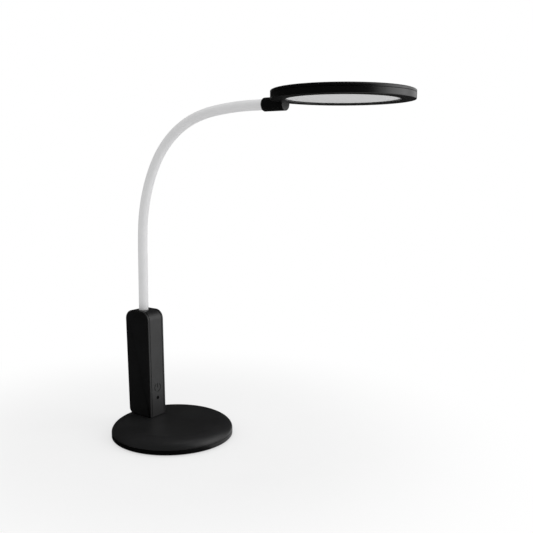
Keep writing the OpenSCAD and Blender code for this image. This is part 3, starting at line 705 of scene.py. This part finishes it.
def make_base_tray(sizes):
    """Tray with its chamfered foot and the lip that the cover fits over."""
    low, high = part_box("base_tray")
    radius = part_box("base_cover")[1].x
    chamfer = sizes.tray_chamfer
    lip = radius - sizes.wall - sizes.lip_gap
    inside = lip - sizes.tray_lip
    floor = low.z + sizes.tray_floor
    top = sizes.seam_height - SEAM_GAP / 2
    outline = [(0, low.z), (radius - chamfer, low.z), (radius, low.z + chamfer), (radius, top), (lip, top),
               (lip, high.z), (inside, high.z), (inside, floor), (0, floor)]
    radii = {1: chamfer / 2, 2: chamfer / 2, 3: sizes.seam_round}
    tray = turned("base_tray_shell", rounded(outline, radii), SHELL_STEPS)
    dress(tray, "base_shell", "lamp_base", "base_tray", finish="base_tray")


def make_foot_pad(sizes):
    """Foam disc under the base, with a soft lower edge."""
    low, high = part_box("foot_pad")
    outline = rounded(disc_outline(high.x, low.z, high.z), {1: sizes.pad_round})
    dress(turned("foot_pad_disc", outline, DISC_STEPS), "foot_foam", "lamp_base", "foot_pad")


# ---------- column ----------
def neck_x():
    """Where the neck's root stands."""
    return middle_of("neck_washer").x


def column_seam():
    """Distance of the column's seams from its middle plane."""
    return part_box("column_band")[1].y + SEAM_GAP / 2


def column_corners(sizes):
    """The four corners of the column's side view, from the front of the foot round to its back."""
    low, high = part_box("column_band")
    front = high.x + FOOT_STEP
    back = front - sizes.depth
    foot = low.z + sizes.foot_gap
    rise = high.z - foot
    return [(front, foot), (front - rise * math.tan(sizes.front_lean), high.z),
            (back - rise * math.tan(sizes.back_lean), high.z), (back, foot)]


def column_plate(bm, sizes, near, far):
    """A plate with the column's side view between two widths; the front of its foot stays sharp."""
    radii = {1: sizes.top_corner, 2: sizes.top_corner, 3: sizes.foot_corner}
    outline = rounded(column_corners(sizes), radii, CORNER_STEPS)
    face = bm.faces.new([bm.verts.new((x, near, z)) for x, z in outline])
    extrude(bm, [face], Y * (far - near))
    bmesh.ops.recalc_face_normals(bm, faces=bm.faces)


def front_face(sizes, height):
    """The point of the front face at a height, and the direction that the face looks in."""
    foot, head = (Vector((x, 0, z)) for x, z in column_corners(sizes)[:2])
    along = (head - foot).normalized()
    return foot + along * (height - foot.z) / along.z, Vector((along.z, 0, -along.x))


def power_symbol(sizes):
    """The broken ring and the bar of the power symbol, as a solid that reaches into the front face."""
    point, outward = front_face(sizes, sizes.key_height)
    ring, line, depth = sizes.key_width / 2, sizes.key_line, sizes.key_depth
    bm = bmesh.new()
    section = [(ring - line, -depth), (ring, -depth), (ring, CUT_OVER), (ring - line, CUT_OVER)]
    face = bm.faces.new([bm.verts.new((0, radius, height)) for radius, height in section])
    bmesh.ops.rotate(bm, verts=bm.verts, matrix=Matrix.Rotation(sizes.key_gap / 2, 3, "Z"))
    bmesh.ops.spin(bm, geom=[face] + face.edges[:] + face.verts[:], cent=ORIGIN, axis=Z,
                   angle=FULL_TURN - sizes.key_gap, steps=SYMBOL_STEPS)
    block(bm, (-line / 2, 0, -depth), (line / 2, SYMBOL_BAR * ring, CUT_OVER))
    bmesh.ops.recalc_face_normals(bm, faces=bm.faces)
    turn = Matrix((Y, outward.cross(Y), outward)).transposed().to_4x4()
    bmesh.ops.transform(bm, matrix=Matrix.Translation(point) @ turn, verts=bm.verts)
    return bm


def make_column_band(sizes):
    """Middle band round the column, with the neck's hole, the touch key, the window and the inlet's cut."""
    wall, flange = sizes.wall, sizes.inlet_flange
    half = column_seam() - sizes.seam_gap / 2
    low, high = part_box("column_band")
    bm = bmesh.new()
    column_plate(bm, sizes, -half, half)
    sides = [face for face in bm.faces if abs(face.normal.y) > FACING]
    bmesh.ops.inset_individual(bm, faces=sides, thickness=wall, use_even_offset=True)
    rims = [edge for face in sides for edge in face.edges]
    bmesh.ops.delete(bm, geom=sides, context="FACES_ONLY")
    bmesh.ops.bridge_loops(bm, edges=rims)
    bmesh.ops.recalc_face_normals(bm, faces=bm.faces)
    band = object_of("column_band_shell", bm)
    holes = bmesh.new()
    through = CUT_WALLS * wall
    drill(holes, (neck_x(), 0, high.z), Z, 2 * through, neck_radius() + sizes.neck_gap, over=wall)
    window, outward = front_face(sizes, middle_of("indicator_window").z)
    drill(holes, window, outward, through, (sizes.lens_width + FIT_GAP) / 2, over=wall)
    back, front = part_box("power_inlet")
    block(holes, (back.x - through - wall, back.y + flange, back.z + flange),
          (back.x + through, front.y - flange, front.z - flange))
    combine(band, holes)
    combine(band, foot_slot(low.z))
    soften(band, sizes.edge_round)
    combine(band, power_symbol(sizes))
    dress(band, "column_band_black", "lamp_base", "column_band")


def make_side_cover(sizes, node, left):
    """One side cover: a plate with a soft outer edge, a rib inside the band, a pocket and two bosses.

    Both are made on the left, and the right one is then mirrored. Its screw holes don't go through.
    """
    inner = column_seam() + sizes.seam_gap / 2
    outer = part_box("column_cover_left")[1].y
    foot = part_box(node)[0].z + sizes.foot_gap
    bm = bmesh.new()
    column_plate(bm, sizes, inner, outer)
    rim = [edge for edge in bm.edges if all(vert.co.y > outer - WELD for vert in edge.verts)
           and any(vert.co.z > foot + WELD for vert in edge.verts)]
    bmesh.ops.bevel(bm, geom=rim, offset=sizes.cover_round, segments=COVER_STEPS, profile=0.5,
                    affect="EDGES", material=-1)
    face = next(face for face in bm.faces if face.normal.y < -FACING)
    face = step_face(bm, face, sizes.wall + FIT_GAP, sizes.rib)
    step_face(bm, face, sizes.wall, sizes.wall + inner - sizes.rib - outer)
    bmesh.ops.recalc_face_normals(bm, faces=bm.faces)
    cover = object_of(node + "_shell", bm)
    bosses, holes = bmesh.new(), bmesh.new()
    for x, z in column_screw_places(sizes):
        end = outer + CUT_OVER if left else THREAD_START
        rod(bosses, (x, FIT_GAP / 2, z), (x, outer - sizes.wall, z), sizes.boss_width / 2)
        rod(holes, (x, -CUT_OVER, z), (x, end, z), (sizes.screw_width + FIT_GAP) / 2)
        if left:
            drill(holes, (x, outer, z), Y, sizes.screw_sink, sizes.screw_head_width / 2 + FIT_GAP)
    combine(cover, bosses, "UNION")
    combine(cover, holes)
    if not left:
        cover.data.transform(Matrix.Diagonal((1, -1, 1, 1)))
        cover.data.flip_normals()
    soften(cover, sizes.edge_round)
    dress(cover, "column_side_black", "lamp_base", node)


def step_face(bm, face, inset, rise):
    """Insets a face, moves its middle along its normal and returns the middle."""
    bmesh.ops.inset_individual(bm, faces=[face], thickness=inset, use_even_offset=True)
    stepped = bmesh.ops.extrude_discrete_faces(bm, faces=[face])["faces"][0]
    bmesh.ops.translate(bm, verts=stepped.verts, vec=stepped.normal * rise)
    return stepped


def column_screw_places(sizes):
    """Side-view places of the two column screws."""
    low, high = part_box("column_screws")
    reach = sizes.screw_head_width / 2
    return [(high.x - reach, low.z + reach), (low.x + reach, high.z - reach)]


def make_screw(sizes, reach):
    """A pan-head screw with a hexagon socket, which stands on its seat at the origin."""
    head, shank, height = sizes.screw_head_width / 2, sizes.screw_width / 2, sizes.screw_head_height
    outline = [(0, height), (head, height), (head, 0), (shank, 0), (shank, -reach), (0, -reach)]
    radii = {1: SCREW_HEAD_ROUND * height, 4: SCREW_TIP_ROUND * shank}
    screw = turned("column_screw", rounded(outline, radii), SMALL_STEPS)
    socket = bmesh.new()
    rod(socket, Z * height / 2, Z * 3 * height / 2, SCREW_SOCKET * head, steps=6)
    combine(screw, socket)
    return screw


def make_column_screws(sizes):
    """The two screws that hold the side covers together."""
    low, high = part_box("column_screws")
    seat = high.y - sizes.screw_head_height
    turn = Y.to_track_quat("Z", "Y").to_matrix().to_4x4()
    bm = bmesh.new()
    for x, z in column_screw_places(sizes):
        screw = make_screw(sizes, seat - low.y)
        screw.data.transform(Matrix.Translation((x, seat, z)) @ turn)
        bm.from_mesh(screw.data)
        bpy.data.objects.remove(screw)
    dress(object_of("column_screw_pair", bm), "screw_steel", "lamp_base", "column_screws")


def make_window(sizes):
    """Indicator window: a slightly domed black lens on a flange, with its light pipe."""
    low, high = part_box("indicator_window")
    lens, flange = sizes.lens_width / 2, (high.z - low.z) / 2
    pipe = lens / 2
    front = high.x - sizes.lens_sink
    seat = high.x - sizes.wall
    back = seat - LENS_FLANGE
    outline = [(0, front), (lens, front - sizes.lens_dome), (lens, seat), (flange, seat), (flange, back),
               (pipe, back), (pipe, low.x), (0, low.x)]
    height = Z * middle_of("indicator_window").z
    window = turned("indicator_lens", rounded(outline, {1: LENS_EDGE}), SMALL_STEPS, height, X)
    dress(window, "window_dark", "lamp_base", "indicator_window")


def make_inlet(sizes):
    """Power inlet: a moulded block with its round socket, held by a flange behind the wall."""
    low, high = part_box("power_inlet")
    height = middle_of("power_inlet").z
    lip = sizes.inlet_flange + FIT_GAP / 2
    front = low.x + sizes.wall - FIT_GAP
    floor = high.x - SOCKET_FLOOR
    bm, flange, bore = bmesh.new(), bmesh.new(), bmesh.new()
    block(bm, (low.x, low.y + lip, low.z + lip), (high.x, high.y - lip, high.z - lip))
    block(flange, (front, low.y, low.z), (front + sizes.inlet_flange, high.y, high.z))
    rod(bore, (low.x - CUT_OVER, 0, height), (floor, 0, height), sizes.socket_width / 2)
    rod(bore, (floor - CUT_OVER, 0, height), (high.x + CUT_OVER, 0, height), PIN_HOLE_RADIUS)
    inlet = object_of("power_inlet_socket", bm)
    combine(inlet, flange, "UNION")
    combine(inlet, bore)
    soften(inlet, sizes.edge_round)
    dress(inlet, "inlet_black", "lamp_base", "power_inlet")


# ---------- neck ----------
def neck_radius():
    """Radius of the neck over its silicone."""
    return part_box("neck_sleeve_root")[1].y


def neck_route():
    """Joints of the neck with the lean of the neck there, from the links' own tangent arcs."""
    joints = [Vector(joint["pos_m"]) for joint in frame["joints"]]
    joints.sort(key=lambda point: point.x + point.z)
    leans = [0.0]
    for here, there in zip(joints, joints[1:]):
        chord = math.atan2(there.x - here.x, there.z - here.z)
        leans.append(2 * chord - leans[-1])
    return joints, leans


def leaning(lean):
    """Direction of the neck where it leans forward by an angle."""
    return Vector((math.sin(lean), 0, math.cos(lean)))


class Tube:
    """A tube under construction, which grows from a flat ring in the neck's plane."""

    def __init__(self, point, lean, outer, inner, sides):
        self.bm = bmesh.new()
        self.point = point
        self.lean = lean
        place = Matrix.Translation(point) @ Matrix.Rotation(lean, 4, "Y")
        for radius in (outer, inner):
            bmesh.ops.create_circle(self.bm, segments=sides, radius=radius, matrix=place)
        bmesh.ops.bridge_loops(self.bm, edges=self.bm.edges[:])
        self.ring = self.bm.faces[:] + self.bm.edges[:] + self.bm.verts[:]

    def grow(self, reach, bend, steps):
        """Extends the tube straight on, or along a bow."""
        ahead = leaning(self.lean)
        if abs(bend) < NO_BEND:
            for _ in range(steps):
                self.ring = extrude(self.bm, self.ring, ahead * reach / steps)
            self.point = self.point + ahead * reach
        else:
            radius = reach / bend
            centre = self.point + Vector((ahead.z, 0, -ahead.x)) * radius
            self.ring = bmesh.ops.spin(self.bm, geom=self.ring, cent=centre, axis=Y, angle=bend,
                                       steps=steps)["geom_last"]
            self.lean += bend
            self.point = centre - Vector((math.cos(self.lean), 0, -math.sin(self.lean))) * radius


def make_neck(sizes):
    """The silicone sleeve, one length from the middle of each link to the middle of the next."""
    joints, leans = neck_route()
    outer = neck_radius()
    inner = outer - sizes.sleeve_wall
    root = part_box("neck_sleeve_root")[0].z
    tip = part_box("neck_sleeve_tip")[1].x
    bodies = ["lamp_base"] + [f"link_{link}" for link in range(1, LINKS + 1)] + ["head"]
    half = joints[0].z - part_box("column_band")[1].z
    for joint in range(LINKS + 1):
        before = (leans[joint] - leans[joint - 1]) / 2 if joint else 0
        after = (leans[joint + 1] - leans[joint]) / 2 if joint < LINKS else 0
        chord = half if abs(before) < NO_BEND else half * math.sin(before / 2) / (before / 2)
        start = joints[joint] - leaning(leans[joint] - before / 2) * chord
        lead = 0 if joint else start.z - root
        tube = Tube(start - Z * lead, leans[joint] - before, outer, inner, sizes.sides)
        if joint == 0:
            tube.grow(lead, 0, sizes.end_steps)
        tube.grow(half, before, sizes.steps)
        tube.grow(half, after, sizes.steps)
        end = tube.point
        replaced = [f"neck_sleeve_{joint}" if joint else "neck_sleeve_root"]
        if joint == LINKS:
            tube.grow(tip - end.x, 0, sizes.end_steps)
            replaced.append("neck_sleeve_tip")
        bmesh.ops.recalc_face_normals(tube.bm, faces=tube.bm.faces)
        piece = object_of(f"neck_skin_{joint + 1}", tube.bm)
        dress(piece, "neck_silicone", None, *replaced, flat_faces=False)
        inset = (end - start).normalized() * BLEND_INSET
        ends = [(bodies[joint], start + inset), (bodies[joint + 1], end - inset)]
        # the two ends, odd-numbered link first, are listed for a blend over the joints that this script doesn't
        # make; the piece is baked in place on no body and doesn't bend with the links
        if joint % 2 == 0:
            ends.reverse()
        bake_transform(piece)


# ---------- head ----------
def head_centre():
    """Middle of the light head, at the height of its lower face."""
    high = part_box("head_cover")[1]
    return Vector((high.x - high.y, 0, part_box("head_rim")[0].z))


def barrel_axis():
    """Start and end of the barrel's axis."""
    low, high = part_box("barrel")
    height = low.z + high.y
    return Vector((low.x, 0, height)), Vector((high.x, 0, height))


def barrel_space():
    """The room that the barrel needs in the head."""
    start, end = barrel_axis()
    bm = bmesh.new()
    rod(bm, start, end + X * FIT_GAP / 2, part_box("barrel")[1].y + FIT_GAP / 2, BARREL_STEPS)
    return bm


def make_barrel(sizes, sleeve_wall):
    """Barrel that the neck's tip sits in, rounded at the neck and flat at its far end."""
    start, end = barrel_axis()
    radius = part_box("barrel")[1].y
    reach = end.x - start.x
    sleeve_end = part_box("neck_sleeve_tip")[1].x - start.x + FIT_GAP
    core_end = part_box("neck_tip")[1].x - start.x + FIT_GAP
    sleeve = neck_radius() + FIT_GAP / 2
    core = neck_radius() - sleeve_wall + FIT_GAP / 2
    outline = [(0, core_end), (core, core_end), (core, sleeve_end), (sleeve, sleeve_end), (sleeve, 0),
               (radius, 0), (radius, reach), (0, reach)]
    radii = {4: BARREL_MOUTH_ROUND, 5: sizes.barrel_round, 6: sizes.barrel_edge}
    barrel = turned("neck_barrel", rounded(outline, radii, MOUTH_STEPS), BARREL_STEPS, start, X)
    dress(barrel, "head_black", "head", "barrel")


def seam_height(sizes):
    """Height of the head's seam over its lower face."""
    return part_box("head_cover")[1].z - head_centre().z - sizes.cover_rim


def make_head_rim(sizes):
    """Lower shell of the head: the wall and the bezel with its stepped lip round the diffuser."""
    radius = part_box("head_cover")[1].y
    inside = radius - sizes.wall
    seam = seam_height(sizes) - SEAM_GAP / 2
    lip = sizes.lens_recess - FIT_GAP / 2
    lens = radius - sizes.bezel_width
    outline = [(lens, 0), (radius, 0), (radius, seam), (inside, seam), (inside, lip), (lens, lip)]
    radii = {0: sizes.bezel_round, 1: sizes.lower_round, 2: sizes.edge_round}
    rim = turned("head_rim_shell", rounded(outline, radii, BEZEL_STEPS), SHELL_STEPS, head_centre())
    combine(rim, barrel_space())
    dress(rim, "head_black", "head", "head_rim")


def make_head_cover(sizes):
    """Upper shell of the head: a disc with a long soft edge and a lip inside the rim."""
    centre = head_centre()
    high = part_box("head_cover")[1]
    radius, top = high.y, high.z - centre.z
    seam = seam_height(sizes) + SEAM_GAP / 2
    foot = seam - sizes.lip_height
    under = top - sizes.wall
    lip = radius - sizes.wall - FIT_GAP
    inside = lip - sizes.lip_wall
    outline = [(0, under), (inside, under), (inside, foot), (lip, foot), (lip, seam), (radius, seam)]
    radii = {len(outline) - 1: ELLIPSE_EASE * sizes.edge_round}
    outline += ellipse(radius, top, sizes.edge_run, sizes.edge_rise, EDGE_STEPS) + [(0, top)]
    cover = turned("head_cover_shell", rounded(outline, radii, FINE_STEPS), SHELL_STEPS, centre)
    combine(cover, barrel_space())
    dress(cover, "head_black", "head", "head_cover")


def make_diffuser(sizes):
    """Opal disc behind the bezel."""
    low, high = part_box("diffuser")
    centre = head_centre()
    outline = disc_outline(high.y, low.z - centre.z, high.z - centre.z)
    outline = rounded(outline, {1: sizes.edge_round, 2: sizes.edge_round}, FINE_STEPS)
    dress(turned("diffuser_disc", outline, DISC_STEPS, centre), "diffuser_opal", "head", "diffuser")


# ---------- inner parts ----------
def finish_inner_parts():
    """Gives every CAD node the finish of its slot."""
    slots = {part["node"]: part["material_slot"] for part in frame["record"]["subparts"]}
    for name, node in frame["nodes"].items():
        node.data.materials.clear()
        node.data.materials.append(finish_of(slots[name]))


# ---------- stage ----------
def make_camera():
    """The camera, which looks slightly down from the front right corner."""
    data = bpy.data.cameras.new("camera")
    camera = bpy.data.objects.new("camera", data)
    bpy.context.scene.collection.objects.link(camera)
    data.lens = CAMERA_LENS
    data.sensor_width = CAMERA_SENSOR
    yaw, pitch, roll = (math.radians(turn) for turn in (CAMERA_YAW, CAMERA_PITCH, CAMERA_ROLL))
    ahead = Vector((-math.sin(yaw) * math.cos(pitch), math.cos(yaw) * math.cos(pitch), -math.sin(pitch)))
    right = Vector((math.cos(yaw), math.sin(yaw), 0))
    up = right.cross(ahead)
    across = right * math.cos(roll) + up * math.sin(roll)
    upward = up * math.cos(roll) - right * math.sin(roll)
    turn = Matrix((across, upward, -ahead)).transposed().to_4x4()
    camera.matrix_world = Matrix.Translation(CAMERA_PLACE) @ turn
    bpy.context.scene.camera = camera


def white_to_view(nodes):
    """1 for rays that meet the white background: from the camera, off gloss or through glass."""
    camera, gloss, glass = (nodes.node("ShaderNodeLightPath", output=f"Is {ray} Ray")
                            for ray in ("Camera", "Glossy", "Transmission"))
    return camera.larger(gloss.larger(glass))


def make_floor(light):
    """Pale floor that keeps the lamp's soft shadow."""
    bm = bmesh.new()
    bmesh.ops.create_circle(bm, cap_ends=True, segments=FLOOR_STEPS, radius=light.floor_reach,
                            matrix=Matrix.Translation(-Z * FLOOR_DROP))
    floor = object_of("floor", bm)
    finish = Finish("floor_paper")
    tone = finish.tint((0.86, 0.86, 0.86), (0.89, 0.89, 0.89), finish.noise(60 * MM))
    matt = finish.node("ShaderNodeBsdfDiffuse", None, {"Color": tone})
    glow = finish.node("ShaderNodeEmission")
    middle = finish.node("ShaderNodeVectorMath", {"operation": "LENGTH"}, {0: finish.place}, output="Value")
    far = finish.node("ShaderNodeMapRange", {"interpolation_type": "SMOOTHSTEP"},
                      {"Value": middle, "From Min": light.shadow_reach / 3, "From Max": light.shadow_reach,
                       "To Min": light.floor_glow})
    mix = finish.node("ShaderNodeMixShader", None, {0: white_to_view(finish) * far, 1: matt, 2: glow})
    floor.data.materials.append(finish.end(mix))


def make_world(light):
    """Even studio air: white to the eye, a plain grey to everything it lights."""
    world = bpy.data.worlds.new("studio_air")
    bpy.context.scene.world = world
    air = NodeTree(world)
    strength = white_to_view(air) * (1 - light.air) + light.air
    sky = air.node("ShaderNodeBackground", None, {"Color": (1, 1, 1, 1), "Strength": strength})
    air.node("ShaderNodeOutputWorld", None, {"Surface": sky})


def make_lamp(name, place, target, size, watts, glossy):
    """A soft box that looks at a target, and that gloss may or may not show."""
    data = bpy.data.lights.new(name, "AREA")
    data.shape = "RECTANGLE"
    data.size, data.size_y = size
    data.energy = watts
    lamp = bpy.data.objects.new(name, data)
    bpy.context.scene.collection.objects.link(lamp)
    lamp.location = place
    lamp.rotation_euler = (Vector(target) - Vector(place)).to_track_quat("-Z", "Y").to_euler()
    lamp.visible_camera = False
    lamp.visible_glossy = glossy


def make_curtain(light):
    """Dark studio curtain with its carpet and roof, open at the front right, which only gloss shows."""
    bm = bmesh.new()
    turn = Matrix.Rotation(math.radians(CURTAIN_FROM), 3, "Z")
    profile = [(CARPET_START, CARPET_LIFT), (CURTAIN_REACH, CARPET_LIFT), (CURTAIN_REACH, CURTAIN_RISE),
               (ROOF_START, CURTAIN_RISE)]
    verts = [bm.verts.new(turn @ Vector((reach, 0, rise))) for reach, rise in profile]
    edges = [bm.edges.new(pair) for pair in zip(verts, verts[1:])]
    bmesh.ops.spin(bm, geom=verts + edges, cent=ORIGIN, axis=Z, angle=math.radians(CURTAIN_SWEEP),
                   steps=CURTAIN_STEPS)
    curtain = object_of("curtain", bm)
    finish = Finish("curtain_cloth")
    grey = light.curtain_grey
    dark = finish.tint(scaled(grey, 0.9), scaled(grey, 1.1), finish.noise(20 * MM))
    curtain.data.materials.append(finish.end(finish.node("ShaderNodeEmission", None, {"Color": dark})))
    for ray in ("camera", "diffuse", "shadow", "transmission", "volume_scatter"):
        setattr(curtain, f"visible_{ray}", False)


# ---------- operators ----------
class LAMP_OT_base(bpy.types.Operator):
    """Make the base's cover, tray and foot pad"""
    bl_idname = "lamp.base"
    bl_label = "Base"

    def execute(self, context):
        sizes = context.scene.lamp_base
        make_base_cover(sizes)
        make_base_tray(sizes)
        make_foot_pad(sizes)
        return {"FINISHED"}


class LAMP_OT_column(bpy.types.Operator):
    """Make the column's band, its two side covers and their screws"""
    bl_idname = "lamp.column"
    bl_label = "Column"

    def execute(self, context):
        sizes = context.scene.lamp_column
        make_column_band(sizes)
        make_side_cover(sizes, "column_cover_left", left=True)
        make_side_cover(sizes, "column_cover_right", left=False)
        make_column_screws(sizes)
        return {"FINISHED"}


class LAMP_OT_fittings(bpy.types.Operator):
    """Make the indicator window and the power inlet"""
    bl_idname = "lamp.fittings"
    bl_label = "Window and Inlet"

    def execute(self, context):
        sizes = context.scene.lamp_column
        make_window(sizes)
        make_inlet(sizes)
        return {"FINISHED"}


class LAMP_OT_neck(bpy.types.Operator):
    """Make the silicone sleeve of the neck"""
    bl_idname = "lamp.neck"
    bl_label = "Neck"

    def execute(self, context):
        make_neck(context.scene.lamp_neck)
        return {"FINISHED"}


class LAMP_OT_head(bpy.types.Operator):
    """Make the barrel, the head's two shells and its diffuser"""
    bl_idname = "lamp.head"
    bl_label = "Head"

    def execute(self, context):
        sizes = context.scene.lamp_head
        make_barrel(sizes, context.scene.lamp_neck.sleeve_wall)
        make_head_rim(sizes)
        make_head_cover(sizes)
        make_diffuser(sizes)
        return {"FINISHED"}


class LAMP_OT_inner(bpy.types.Operator):
    """Finish the inner parts"""
    bl_idname = "lamp.inner"
    bl_label = "Inner Parts"

    def execute(self, context):
        finish_inner_parts()
        return {"FINISHED"}


class LAMP_OT_stage(bpy.types.Operator):
    """Set up the camera, the floor and the studio light"""
    bl_idname = "lamp.stage"
    bl_label = "Stage"

    def execute(self, context):
        light = context.scene.lamp_stage
        make_camera()
        make_floor(light)
        make_world(light)
        make_curtain(light)
        make_lamp("right_box", place=(1.5, 0.75, 0.75), target=(-0.02, 0, 0.25), size=(1.2, 1.4),
                  watts=light.right_power, glossy=True)
        make_lamp("top_box", place=(0.1, 0.1, 1.9), target=(0, 0, 0.2), size=(1.3, 1.3),
                  watts=light.top_power, glossy=False)
        context.scene.view_settings.view_transform = "Standard"
        return {"FINISHED"}


class LAMP_PT_panel(bpy.types.Panel):
    """Lists the lamp's pieces and their sizes"""
    bl_idname = "LAMP_PT_panel"
    bl_label = "Gooseneck Desk Lamp"
    bl_space_type = "VIEW_3D"
    bl_region_type = "UI"
    bl_category = "Desk Lamp"

    def draw(self, context):
        for maker in MAKERS:
            self.layout.operator(maker.bl_idname)
        for name in GROUPS:
            group = getattr(context.scene, name)
            box = self.layout.box()
            for size in GROUPS[name].__annotations__:
                box.prop(group, size)


MAKERS = (LAMP_OT_stage, LAMP_OT_inner, LAMP_OT_base, LAMP_OT_column, LAMP_OT_fittings, LAMP_OT_neck,
          LAMP_OT_head)
GROUPS = {"lamp_base": LampBaseSizes, "lamp_column": LampColumnSizes, "lamp_neck": LampNeckSizes,
          "lamp_head": LampHeadSizes, "lamp_colours": LampColours, "lamp_stage": LampStage}


def register():
    """Registers the classes and hangs the groups on the scene."""
    for group in GROUPS.values():
        bpy.utils.register_class(group)
    for name, group in GROUPS.items():
        setattr(bpy.types.Scene, name, bpy.props.PointerProperty(type=group))
    for maker in MAKERS:
        bpy.utils.register_class(maker)
    bpy.utils.register_class(LAMP_PT_panel)


def unregister():
    """Takes the classes and the groups away."""
    bpy.utils.unregister_class(LAMP_PT_panel)
    for maker in reversed(MAKERS):
        bpy.utils.unregister_class(maker)
    for name, group in GROUPS.items():
        delattr(bpy.types.Scene, name)
        bpy.utils.unregister_class(group)


def main():
    """Makes the lamp and its stage."""
    register()
    for make in (bpy.ops.lamp.stage, bpy.ops.lamp.inner, bpy.ops.lamp.base, bpy.ops.lamp.column,
                 bpy.ops.lamp.fittings, bpy.ops.lamp.neck, bpy.ops.lamp.head):
        make()


if __name__ == "__main__":
    main()
